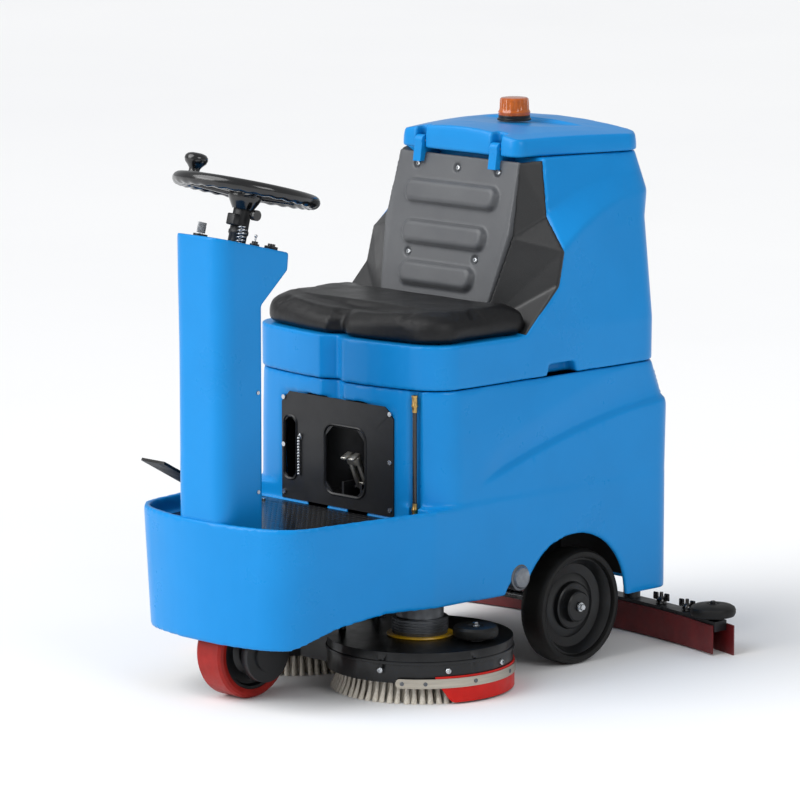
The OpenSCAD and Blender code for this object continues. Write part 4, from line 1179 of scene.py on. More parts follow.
@dataclass
class UpperTank(BodyPlan):
    """The recovery tank: a band round the seat and the creased tower behind it."""

    low: float = 0.6365
    band_top: float = 0.730
    band_half: float = 0.284
    tail_half: float = 0.297
    tail_y: float = 0.486
    lip_y: float = 0.504
    top: float = 1.087
    cell: float = 0.0045
    notch_y: tuple[float, float] = (0.140, 0.226)

    def _level(self, kind: int, x: float, y: float) -> Place:
        """Places a plan point on one of the tank's levels.

        Args:
            kind: 0 low edge, 1 band top, 2 under the lip, 3 lower crease,
                4 upper crease, 5 rim.
            x: The plan point's place across, at the band.
            y: Its place along.

        Returns:
            The point in space.
        """
        share = min(1.0, max(0.0, (y - 0.19) / 0.29))
        rise = 1 - (1 - share) ** 2.2
        base = self.band_half + (self.tail_half - self.band_half) * (y + 0.2) / 0.686
        lower = (0.900 + 0.100 * rise, 0.284 - 0.022 * share)
        upper = (0.966 + 0.077 * rise, 0.224 + 0.026 * share)
        rim = (self.top, 0.203 + 0.043 * share)
        z, half = {
            0: (self.low, base - 0.001), 1: (self.band_top, base),
            2: (lower[0] - 0.055, base + (lower[1] - base) * 0.75), 3: lower, 4: upper, 5: rim
        }[kind]
        back = max(0.0, (y - 0.40) / (self.tail_y - 0.40))
        push = {0: 0.0, 1: 0.0, 2: 0.0, 3: self.lip_y - self.tail_y, 4: 0.010, 5: -0.008}[kind]
        return (x * half / base, y + push * back, z)

    def _seat_space(self) -> Mesh:
        """Gives the wedge that the seat and its backrest fill."""
        bm = bmesh.new()
        side = [(-0.35, 0.7305), (0.070, 0.7295), (0.171, 0.827), (0.189, 0.900), (0.200, 0.964)]
        prism(bm, side + [(0.208, 1.081), (0.208, 1.30), (-0.35, 1.30)], Axis.X, -0.5, 0.5)
        return bm

    def build(self) -> None:
        """Makes the creased shell, its finger notch and its inside."""
        bm = bmesh.new()
        flat = self.plan(
            -0.222, self.tail_y, self.band_half, self.tail_half, 0.0, 0.072, 0.050, 26, self.front_bow
        )
        loft(bm, [[self._level(k, x, y) for x, y in flat] for k in range(6)])
        tank = Kit.raw("recovery_tank_shell", bm)
        tools = [self._seat_space()]
        hollow = bmesh.new()
        inner = self.plan(0.222, self.tail_y, 0.186, 0.236, self.wall, 0.02, 0.04)
        loft(hollow, [[(x, y, z) for x, y in inner] for z in (0.66, self.top + 0.05)])
        tools.append(hollow)
        for side in (-1, 1):
            grip = bmesh.new()
            y0, y1 = self.notch_y
            outline = [(y0 - 0.004, self.low - 0.01), (y1 + 0.004, self.low - 0.01)]
            outline += [(y1 - 0.006, self.low + 0.025), (y0 + 0.003, self.low + 0.025)]
            prism(grip, outline, Axis.X, min(side * 0.26, side * 0.34), max(side * 0.26, side * 0.34))
            tools.append(grip)
        Kit.boolean(tank, tools)
        Kit.mould(tank, self.cell, 5, 0.6)
        Kit.dress(tank, "upper_tank", BLUE_SHELL, None, ["recovery_tank"])


@dataclass
class TankLid(BodyPlan):
    """The domed lid with its two hinge notches, and the beacon on it."""

    front: float = 0.158
    rear: float = 0.482
    front_half: float = 0.180
    rear_half: float = 0.250
    low: float = 1.0885
    high: float = 1.145
    lug_x: float = 0.112
    lug_half: float = 0.014
    cell: float = 0.0032

    def _height(self, share: float, x: float, y: float) -> float:
        """Gives the crowned lid's height over a plan point.

        Args:
            share: 0 at the lower edge and 1 on the top.
            x: Place across.
            y: Place along.

        Returns:
            The height.
        """
        back = (y - self.front) / (self.rear - self.front)
        half = self.front_half + (self.rear_half - self.front_half) * back
        crown = 0.020 * (1 - min(1.0, abs(x) / half) ** 2)
        edge = self.high - 0.022 + crown + 0.004 * math.sin(math.pi * min(1.0, max(0.0, back)))
        return self.low + (min(edge, self.high) - self.low) * share

    def build(self) -> None:
        """Makes the lid, its underside and its hinge notches."""
        bm = bmesh.new()
        # Height of the wall's share and the inset of the outline there.
        steps = [(0.0, 0.0), (0.55, 0.001), (0.86, 0.003), (1.0, 0.006), (1.0, 0.040), (1.0, 0.090)]
        rings = []
        for share, inset in steps:
            flat = self.plan(self.front, self.rear, self.front_half, self.rear_half, inset, 0.028, 0.048)
            rings.append([(x, y, self._height(share, x, y)) for x, y in flat])
        loft(bm, rings)
        lid = Kit.raw("tank_lid_shell", bm)
        tools = []
        for side in (-1, 1):
            slot = bmesh.new()
            low = (side * self.lug_x - self.lug_half, self.front - 0.02, self.low - 0.01)
            high = (side * self.lug_x + self.lug_half, self.front + 0.026, self.high + 0.01)
            block(slot, low, high)
            tools.append(slot)
        under = bmesh.new()
        flat = self.plan(self.front, self.rear, self.front_half, self.rear_half, 0.012, 0.030, 0.048)
        loft(under, [[(x, y, z) for x, y in flat] for z in (self.low - 0.02, self.low + 0.022)])
        tools.append(under)
        Kit.boolean(lid, tools)
        Kit.mould(lid, self.cell, 4, 0.6)
        Kit.dress(lid, "lid", BLUE_SHELL, None, ["tank_lid"])
        self._hinges()

    def _hinges(self) -> None:
        """Makes the two lugs on the tank that the lid turns on."""
        bm = bmesh.new()
        for side in (-1, 1):
            x = side * self.lug_x
            outline = [(self.front - 0.012, 1.060), (self.front + 0.060, 1.060), (self.front + 0.060, 1.084)]
            outline += arc_points((self.front + 0.006, 1.104), 0.013, 20, 200, 10)
            prism(bm, outline, Axis.X, x - 0.0115, x + 0.0115)
        Kit.piece("lid_hinge_lugs", bm, "upper_tank", BLUE_SHELL, 40, 1.5 * MM)


@dataclass
class Beacon:
    """The amber warning light on a black foot."""

    centre: tuple[float, float] = (0.0, 0.334)
    low: float = 1.1435

    def build(self) -> None:
        """Makes the foot, the ribbed lens and the lamp inside."""
        x, y = self.centre
        foot = bmesh.new()
        profile = [
            (0.0, 0.012), (0.033, 0.012), (0.0345, 0.010), (0.0345, 0.005), (0.037, 0.003), (0.037, 0.0)
        ]
        lathe(foot, profile + [(0.0, 0.0)], (x, y, self.low), steps=48)
        Kit.piece("beacon_foot", foot, "lid", BLACK_ABS, 30, 0.0, ["beacon_base"])
        lens = bmesh.new()
        outer = [(0.033, 0.010), (0.0345, 0.012), (0.0350, 0.018), (0.0335, 0.021), (0.0325, 0.024)]
        outer += [(0.0320, 0.042), (0.0310, 0.046), (0.0280, 0.0485), (0.020, 0.0495), (0.0, 0.0500)]
        made = lathe(lens, outer, (x, y, self.low), steps=96)
        for vertex in made:
            spoke = math.atan2(vertex.co.y - y, vertex.co.x - x)
            height = vertex.co.z - self.low
            if 0.0235 < height < 0.0425:
                push = 1 - 0.035 * (0.5 + 0.5 * math.cos(16 * spoke))
                vertex.co.x = x + (vertex.co.x - x) * push
                vertex.co.y = y + (vertex.co.y - y) * push
        Kit.piece("beacon_lens_dome", lens, "lid", AMBER_LENS, 30, 0.0, ["beacon_lens"])
        lamp = bmesh.new()
        lathe(
            lamp, [(0.0, 0.040), (0.008, 0.038), (0.010, 0.032), (0.010, 0.013), (0.0, 0.013)],
            (x, y, self.low), steps=24
        )
        Kit.piece("beacon_reflector", lamp, "lid", BRIGHT_STEEL, 30)


@dataclass
class ColumnCover:
    """The tall blue cover round the steering tube."""

    half: float = 0.077
    corner: float = 0.040
    back_corner: float = 0.012
    cell: float = 0.0032

    def _section(self, z: float, inset: float = 0.0) -> list[Place]:
        """Gives the cover's plan outline at a height along its lean.

        Args:
            z: Height of the section's front edge.
            inset: How far inside it is drawn.

        Returns:
            The closed outline.
        """
        front = -0.604 - 0.004 * smoothstep(0.70, 0.98, z)
        if z <= 0.831:
            back = -0.488
        elif z <= 0.897:
            back = -0.488 + 0.075 * (z - 0.831) / 0.066
        else:
            back = -0.413 + 0.008 * (z - 0.897) / 0.085
        half, low, high = self.half - inset, front + inset, back - inset
        rf, rr = self.corner - inset * 0.8, max(0.003, self.back_corner - inset * 0.8)
        outline = arc_points((half - rf, low + rf), rf, -90, 0, 8)
        outline += arc_points((half - rr, high - rr), rr, 0, 90, 5)
        outline += [(-x, y) for x, y in reversed(outline)]
        crown = 0.004
        return [
            (x, y - crown * max(0.0, 1 - (x / (half - rf)) ** 2) * (y < low + 1e-6), z) for x, y in outline
        ]

    def build(self) -> None:
        """Makes the cover, slopes its top and opens it for the tube."""
        bm = bmesh.new()
        loft(bm, [self._section(z) for z in (0.3555, 0.50, 0.66, 0.75, 0.831, 0.866, 0.897, 1.02)])
        cover = Kit.raw("column_cover_shell", bm)
        slope = bmesh.new()
        prism(slope, [(-0.65, 0.9920), (-0.36, 0.9200), (-0.36, 1.1), (-0.65, 1.1)], Axis.X, -0.2, 0.2)
        hollow = bmesh.new()
        loft(hollow, [self._section(z, 0.008) for z in (0.34, 0.66, 0.831, 0.897)])
        tube_hole = bmesh.new()
        place = Matrix.Translation((0, -0.494, 0.942)) @ Matrix.Rotation(math.radians(-15), 4, "X")
        bmesh.ops.create_cone(
            tube_hole, cap_ends=True, segments=48, radius1=0.034, radius2=0.034, depth=0.16, matrix=place
        )
        Kit.boolean(cover, [slope, hollow, tube_hole])
        Kit.mould(cover, self.cell, 5, 0.6)
        Kit.dress(cover, "machine", BLUE_SHELL, None, ["column_cover"])


# --------------------
# Seat
# --------------------


@dataclass
class SeatSurround:
    """The ribbed backrest with its two side facets, darkened as painted shade."""

    panel_low: Place = (0.153, 0.078, 0.764)
    panel_kink: Place = (0.186, 0.133, 0.922)
    panel_top: Place = (0.178, 0.164, 1.080)
    wing_top: Place = (0.203, 0.208, 1.083)
    wing_kink: Place = (0.224, 0.200, 0.965)
    wing_peak: Place = (0.286, 0.187, 0.899)
    wing_mid: Place = (0.288, 0.169, 0.827)
    wing_low: Place = (0.288, 0.070, 0.731)
    thick: float = 0.016
    ribs: tuple[tuple[float, float], ...] = ((0.20, 0.108), (0.47, 0.122), (0.74, 0.136))
    rib_high: float = 0.050
    rib_proud: float = 0.012
    cell: float = 0.0028

    def _on_panel(self, x: float, share: float, proud: float) -> Vector:
        """Places a point on the backrest's sloping face.

        Args:
            x: Place across.
            share: 0 at the panel's foot and 1 at its top.
            proud: Distance in front of the face.

        Returns:
            The point.
        """
        foot = Vector((x, self.panel_low[1], self.panel_low[2]))
        head = Vector((x, self.panel_top[1], self.panel_top[2]))
        out = Vector((0, -(head.z - foot.z), head.y - foot.y)).normalized()
        return foot.lerp(head, share) + out * proud

    def _flip(self, p: Point, side: int) -> Place:
        """Mirrors a left-hand point to the given side."""
        return (p[0] * side, p[1], p[2])

    def _panel(self) -> Mesh:
        """Gives the central panel as a slab with its ribs and screw wells."""
        bm = bmesh.new()
        low, kink, top = Vector(self.panel_low), Vector(self.panel_kink), Vector(self.panel_top)
        lean = self._on_panel(0, 0.5, 0.0) - self._on_panel(0, 0.5, 1.0)
        half = [self._on_panel(p.x, share, 0.0) for p, share in ((low, 0.0), (kink, 0.53), (top, 1.0))]
        ring_points = half + [self._flip(p, -1) for p in reversed(half)]
        foot = Vector((0, -0.006, -0.030))
        ring_points[0] = Vector(ring_points[0]) + foot
        ring_points[-1] = Vector(ring_points[-1]) + foot
        loft(bm, [ring_points, [Vector(p) + lean * self.thick for p in ring_points]])
        return bm

    def _rib(self, share: float, half: float) -> Mesh:
        """Gives one rib: a pill that swells from the panel.

        Args:
            share: Height of its middle as a share of the panel.
            half: Half its length.

        Returns:
            The rib's mesh.
        """
        bm = bmesh.new()
        length = (Vector(self.panel_top) - Vector(self.panel_low)).yz.length
        rings = []
        for inset, proud in ((-0.004, -0.006), (0.0, 0.004), (0.003, 0.010), (0.009, self.rib_proud + 0.001)):
            points = round_rect(half - inset, self.rib_high / 2 - inset, 0.020 - inset * 0.5, 6)
            rings.append([self._on_panel(a, share + b / length, proud) for a, b in points])
        loft(bm, rings)
        return bm

    def _wing(self, side: int) -> Mesh:
        """Gives one side facet as a slab folded along the panel's edge.

        Args:
            side: 1 for the left hand and -1 for the right.

        Returns:
            The facet's mesh.
        """
        bm = bmesh.new()
        names = (
            self.panel_low, self.panel_kink, self.panel_top, self.wing_top, self.wing_kink, self.wing_peak
        )
        names += (self.wing_mid, self.wing_low)
        front = [Vector(self._flip(p, side)) for p in names]
        front[0] = front[0] + Vector((0, -0.006, -0.032))
        back = [p + Vector((-0.012 * side, 0.028, -0.012)) for p in front]
        verts = [[bm.verts.new(p) for p in row] for row in (front, back)]
        faces = ((0, 1, 5, 6), (0, 6, 7), (1, 2, 4, 5), (2, 3, 4))
        for row, order in ((0, 1), (1, -1)):
            for face in faces:
                bm.faces.new([verts[row][i] for i in face][::order])
        count = len(front)
        for i in range(count):
            j = (i + 1) % count
            bm.faces.new((verts[0][i], verts[1][i], verts[1][j], verts[0][j]))
        return bm

    def build(self) -> None:
        """Makes the panel, its ribs, the side facets and the screws."""
        panel = Kit.raw("backrest_panel", self._panel())
        Kit.boolean(panel, [self._rib(share, half) for share, half in self.ribs], "UNION")
        wells = []
        for x, share in self._screws():
            well = bmesh.new()
            turn = (
                self._on_panel(0, 0, 1) - self._on_panel(0, 0, 0)
            ).to_track_quat("Z", "Y").to_matrix().to_4x4()
            lathe(
                well, [(0.0, 0.03), (0.0125, 0.03), (0.0095, -0.007), (0.0, -0.007)],
                self._on_panel(x, share, 0.0), steps=24, matrix=turn
            )
            wells.append(well)
        Kit.boolean(panel, wells)
        Kit.mould(panel, self.cell, 3, 0.7)
        Kit.dress(panel, "upper_tank", BACKREST_SKIN_WITH_SHEEN, None, ["seat_surround"])
        for side, word in SIDES:
            wing = Kit.raw("backrest_facet_" + word, self._wing(side))
            Kit.mould(wing, self.cell, 3, 0.6)
            # The facets take the backrest's skin darkened as painted shade.
            Kit.dress(wing, "upper_tank", WING_SKIN_PAINTED_SHADE, None)
        bm = bmesh.new()
        for x, share in self._screws():
            out = self._on_panel(0, 0, 1) - self._on_panel(0, 0, 0)
            hex_bolt(bm, self._on_panel(x, share, -0.006), out, 0.013, True)
        Kit.piece("backrest_screws", bm, "upper_tank", BRIGHT_STEEL, 35, 0.0, ["seat_screws"])

    def _screws(self) -> Outline:
        """Gives each screw's place across and up the panel."""
        return [(-0.120, 0.92), (0.0, 0.92), (0.120, 0.92), (-0.1, 0.335), (0.1, 0.335)]


@dataclass
class SeatCushion:
    """The crowned vinyl seat pad, blown up as cloth over its foam."""

    front: float = -0.217
    back: float = 0.104
    half: float = 0.278
    low: float = 0.7325
    high: float = 0.786
    corner: float = 0.076
    bow: float = 1.9
    swell: float = 0.010
    cell: float = 0.005
    pressure: float = 4.0
    frames: int = 20

    def _foam(self) -> Mesh:
        """Gives the pad before it is blown up: a bow-fronted, dished slab."""
        bm = bmesh.new()
        rings = []
        shape = BodyPlan()
        for inset, share in (
            (0.004, 0.0), (0.0, 0.22), (0.001, 0.52), (0.008, 0.80), (0.026, 0.97), (0.060, 1.0)
        ):
            outline = shape.plan(
                self.front, self.back, self.half, self.half, inset, self.corner, 0.030, 6, self.bow
            )
            rings.append([(x, y, self._top(share, x, y)) for x, y in outline])
        loft(bm, rings)
        return bm

    def _top(self, share: float, x: float, y: float) -> float:
        """Gives the dished pad's height over a plan point.

        Args:
            share: 0 at the foot and 1 on the top.
            x: Place across.
            y: Place along.

        Returns:
            The height.
        """
        dish = 0.016 * (1 - smoothstep(0.10, 0.23, abs(x))) * smoothstep(
            self.front + 0.01, self.front + 0.12, y
        )
        drop = 0.012 * (1 - smoothstep(0.03, 0.20, abs(x))) * (
            1 - smoothstep(self.front, self.front + 0.12, y)
        )
        return self.low + (self.high - self.low - dish - drop) * share

    def build(self) -> None:
        pad = Kit.raw("seat_pad", self._foam())
        Kit.mould(pad, self.cell, 4)
        self._inflate(pad)
        fine = pad.modifiers.new("fine", "SUBSURF")
        fine.levels = fine.render_levels = 1
        Kit.apply(pad)
        self._creases(pad)
        Kit.dress(pad, "upper_tank", SEAT_VINYL, None, ["seat_cushion"])

    def _inflate(self, pad: Piece) -> None:
        """Blows the pad up as cloth and holds every point near its start.

        Args:
            pad: The remeshed pad.
        """
        start = [v.co.copy() for v in pad.data.vertices]
        cloth = pad.modifiers.new("cloth", "CLOTH")
        cloth.settings.use_pressure = True
        cloth.settings.uniform_pressure_force = self.pressure
        cloth.settings.effector_weights.gravity = 0.0
        cloth.settings.quality = 5
        cloth.point_cache.frame_start = 1
        cloth.point_cache.frame_end = self.frames
        scene = bpy.context.scene
        for step in range(1, self.frames + 1):
            scene.frame_set(step)
        Kit.apply(pad)
        scene.frame_set(1)
        for vertex, place in zip(pad.data.vertices, start):
            shift = vertex.co - place
            if shift.length > self.swell:
                vertex.co = place + shift.normalized() * self.swell
            vertex.co.z = max(vertex.co.z, self.low - 0.001)

    def _creases(self, pad: Piece) -> None:
        """Presses shallow sitting creases into the top near the front edge.

        Args:
            pad: The finished pad.
        """
        for vertex in pad.data.vertices:
            x, y, z = vertex.co
            top = smoothstep(self.low + 0.025, self.high - 0.004, z)
            wave = noise.noise(Vector((x * 9.0, y * 26.0, 0.3))) * 0.0016
            pull = noise.noise(Vector((x * 38.0, y * 7.0, 1.7))) * 0.0010
            near_edge = smoothstep(self.front + 0.09, self.front, y)
            vertex.co.z += (wave + pull * near_edge) * top


# --------------------
# Steering
# --------------------


@dataclass
class Steering:
    """The tilted steering tube, its spring and the four-spoke hand wheel."""

    pivot: Place = (0.0, -0.494, 0.942)
    tilt: float = 15.0
    tube_long: float = 0.122
    wheel_r: float = 0.141
    grip_r: float = 0.0140
    knob_turn: float = 190.0

    def _place(self) -> Matrix:
        """Gives the tube's own axes: its foot at the origin, upwards along Z."""
        return Matrix.Translation(self.pivot) @ Matrix.Rotation(math.radians(-self.tilt), 4, "X")

    def _grip(self) -> None:
        """Makes the rim with its finger scallops and the spokes."""
        place = self._place() @ Matrix.Translation((0, 0, self.tube_long))
        bm = bmesh.new()
        circle = [
            (self.wheel_r + self.grip_r * math.cos(TURN * k / 20), self.grip_r * math.sin(TURN * k / 20))
            for k in range(20)
        ]
        made = lathe(bm, circle + circle[:1], (0, 0, 0), steps=180)
        for vertex in made:
            spin = math.atan2(vertex.co.y, vertex.co.x)
            under = max(0.0, -vertex.co.z / self.grip_r)
            vertex.co.z += 0.0022 * under * (0.5 + 0.5 * math.cos(30 * spin))
        bmesh.ops.transform(bm, matrix=place, verts=bm.verts)
        Kit.piece("steering_wheel_rim", bm, "hand_wheel", GLOSS_BLACK, 60, 0.0, ["steering_wheel"])
        bm = bmesh.new()
        profile = [(0.0, 0.004), (0.020, 0.004), (0.027, 0.000), (0.034, -0.004), (0.036, -0.014)]
        lathe(bm, profile + [(0.030, -0.026), (0.022, -0.040), (0.0, -0.040)], (0, 0, 0), steps=48)
        lathe(
            bm, [(0.0, 0.008), (0.014, 0.007), (0.019, 0.004), (0.019, -0.002), (0.0, -0.002)], (0, 0, 0),
            steps=48
        )
        for angle in (90, 210, 330):
            turn = Matrix.Rotation(math.radians(angle), 4, "Z")
            rings = []
            for share in range(7):
                t = share / 6
                x = 0.026 + (self.wheel_r - 0.030) * t
                wide = 0.016 - 0.006 * math.sin(math.pi * t)
                high = 0.0065 - 0.001 * t
                z = -0.010 + 0.008 * t
                rings.append(
                    [turn @ Vector((x, a, z + b)) for a, b in round_rect(wide, high, high * 0.95, 4)]
                )
            loft(bm, rings)
        bmesh.ops.transform(bm, matrix=place, verts=bm.verts)
        Kit.piece("steering_wheel_hub", bm, "hand_wheel", GLOSS_BLACK, 40)
        bm = bmesh.new()
        spoke = math.radians(self.knob_turn)
        seat = Vector((self.wheel_r * math.cos(spoke), self.wheel_r * math.sin(spoke), 0.012))
        lathe(
            bm, [(0.0, 0.008), (0.016, 0.008), (0.022, 0.003), (0.0255, -0.010), (0.0, -0.010)], seat,
            steps=32
        )
        bmesh.ops.transform(bm, matrix=place, verts=bm.verts)
        Kit.piece("spinner_boss", bm, "hand_wheel", GLOSS_BLACK, 40)
        bm = bmesh.new()
        knob = [(0.0, 0.0440), (0.012, 0.0435), (0.0195, 0.0410), (0.0240, 0.0360), (0.0250, 0.0300)]
        knob += [
            (0.0225, 0.0230), (0.0160, 0.0165), (0.0120, 0.0110), (0.0112, 0.0060), (0.0140, 0.0025),
            (0.0, 0.0025)
        ]
        lathe(bm, knob, seat + Vector((0, 0, 0.0065)), steps=48)
        bmesh.ops.transform(bm, matrix=place, verts=bm.verts)
        Kit.piece("spinner_grip", bm, "spinner", GLOSS_BLACK, 50, 0.0, ["spinner_knob"])

    def _tube(self) -> None:
        """Makes the stepped tube, its gaiter and the clamp."""
        bm = bmesh.new()
        profile = [(0.0, 0.084), (0.017, 0.084), (0.019, 0.081), (0.019, 0.040), (0.021, 0.037)]
        profile += [(0.021, 0.031), (0.0190, 0.028), (0.0190, 0.008), (0.024, 0.002), (0.024, -0.006)]
        lathe(bm, profile + [(0.018, -0.012), (0.0, -0.012)], (0, 0, 0), steps=48)
        block(bm, (-0.012, -0.030, 0.046), (0.012, -0.012, 0.070), 0.003)
        bmesh.ops.transform(bm, matrix=self._place(), verts=bm.verts)
        Kit.piece("steering_sleeve", bm, "tilt_column", BLACK_STEEL, 35, 0.0, ["steering_tube"])
        bm = bmesh.new()
        turns, radius = 7, 0.0085
        path = []
        for i in range(turns * 16 + 1):
            a = TURN * i / 16
            path.append(
                (
                    0.026 + radius * math.cos(a), -0.016 + radius * math.sin(a),
                    -0.004 + 0.050 * i / (turns * 16)
                )
            )
        sweep(bm, path, 0.0014, 8)
        bmesh.ops.transform(bm, matrix=self._place(), verts=bm.verts)
        Kit.piece("tilt_spring", bm, "tilt_column", BRIGHT_STEEL, 60, 0.0, ["column_spring"])

    def build(self) -> None:
        """Makes every steering piece above the column's top."""
        self._tube()
        self._grip()
        Kit.carry(GLOSS_BLACK, 0.8, "clamp_knob")
        Kit.carry(BRIGHT_STEEL, 0.8, "steering_shaft")
        Kit.carry(BLACK_ABS, 0.8, "dash_switches")
        Kit.carry(BRIGHT_STEEL, 0.3, "ignition_key", "toggle_lever")
        Kit.carry(GLOSS_BLACK, 0.4, "horn_button")


# --------------------
# Wheels
# --------------------


@dataclass
class Wheels:
    """The red steered drive wheel in front and the two black rear wheels."""

    rear_y: float = 0.238
    rear_z: float = 0.125
    rear_r: float = 0.125
    rear_out: float = 0.295
    rear_wide: float = 0.066
    front_y: float = -0.480
    front_z: float = 0.100
    front_r: float = 0.100
    front_half: float = 0.038

    def _rear(self, side: int, word: str) -> None:
        """Makes one rear wheel.

        Args:
            side: 1 for the left hand and -1 for the right.
            word: The side's word in the names.
        """
        turn = Matrix.Identity(4) if side > 0 else Matrix.Rotation(math.pi, 4, "Z")
        centre = (side * (self.rear_out - self.rear_wide), self.rear_y, self.rear_z)
        w, r = self.rear_wide, self.rear_r
        bm = bmesh.new()
        profile = [(0.1062, 0.004), (0.112, 0.0), (0.119, 0.002), (0.1235, 0.008), (r, 0.018), (r, w - 0.018)]
        profile += [
            (0.1235, w - 0.008), (0.119, w - 0.0015), (0.112, w), (0.1085, w - 0.002), (0.1062, w - 0.008)
        ]
        lathe(bm, profile + profile[:1], (0, 0, 0), Axis.X, 128)
        bmesh.ops.transform(bm, matrix=Matrix.Translation(centre) @ turn, verts=bm.verts)
        Kit.piece(
            "rear_tyre_band_" + word, bm, "rear_wheel_" + word, BLACK_RUBBER, 30, 0.0, ["rear_tyre_" + word]
        )
        bm = bmesh.new()
        face = [
            (0.1058, 0.006), (0.1058, w - 0.009), (0.102, w - 0.008), (0.096, w - 0.016), (0.090, w - 0.030)
        ]
        face += [
            (0.070, w - 0.034), (0.066, w - 0.032), (0.052, w - 0.031), (0.050, w - 0.022), (0.047, w - 0.020)
        ]
        face += [
            (0.036, w - 0.021), (0.034, w - 0.016), (0.033, w - 0.008), (0.030, w - 0.005),
            (0.0105, w - 0.005)
        ]
        face += [(0.0105, 0.004), (0.030, 0.004), (0.034, 0.012), (0.090, 0.014), (0.098, 0.006)]
        lathe(bm, face + face[:1], (0, 0, 0), Axis.X, 96)
        bmesh.ops.transform(bm, matrix=Matrix.Translation(centre) @ turn, verts=bm.verts)
        Kit.piece(
            "rear_wheel_disc_" + word, bm, "rear_wheel_" + word, BLACK_ABS, 28, 0.0, ["rear_hub_" + word]
        )
        bm = bmesh.new()
        outer = centre[0] + side * (w - 0.001)
        hex_bolt(bm, (outer, self.rear_y, self.rear_z), (side, 0, 0), 0.020)
        Kit.piece("rear_wheel_bolt_" + word, bm, "machine", BRIGHT_STEEL, 30)

    def _front(self) -> None:
        """Makes the drive wheel's tyre, its hub and the motor's face."""
        centre = (0.0, self.front_y, self.front_z)
        h, r = self.front_half, self.front_r
        bm = bmesh.new()
        profile = [(0.0805, -h + 0.002), (0.090, -h), (0.096, -h + 0.002), (r, -h + 0.008), (r, h - 0.008)]
        profile += [(0.096, h - 0.002), (0.090, h), (0.0805, h - 0.002)]
        lathe(bm, profile + profile[:1], centre, Axis.X, 112)
        Kit.piece("drive_tyre_band", bm, "front_wheel", RED_TREAD, 30, 0.0, ["front_tyre"])
        bm = bmesh.new()
        face = [(0.0800, -h + 0.003), (0.0800, h - 0.003), (0.074, h - 0.004), (0.070, h - 0.012)]
        face += [
            (0.050, h - 0.014), (0.040, h - 0.006), (0.012, h - 0.006), (0.012, -h + 0.006),
            (0.040, -h + 0.006)
        ]
        lathe(bm, face + [(0.072, -h + 0.012)] + face[:1], centre, Axis.X, 80)
        Kit.piece("drive_wheel_core", bm, "front_wheel", BLACK_STEEL, 30, 0.0, ["front_hub"])

    def build(self) -> None:
        """Makes the three wheels and dresses their axles."""
        self._front()
        for side, word in SIDES:
            self._rear(side, word)
        Kit.carry(BRIGHT_STEEL, 0.8, "front_axle", "rear_axle")
        Kit.carry(BLACK_STEEL, 0.8, "steer_fork", "drive_motor", "chassis_frame")


# --------------------
# Brush deck and squeegee
# --------------------


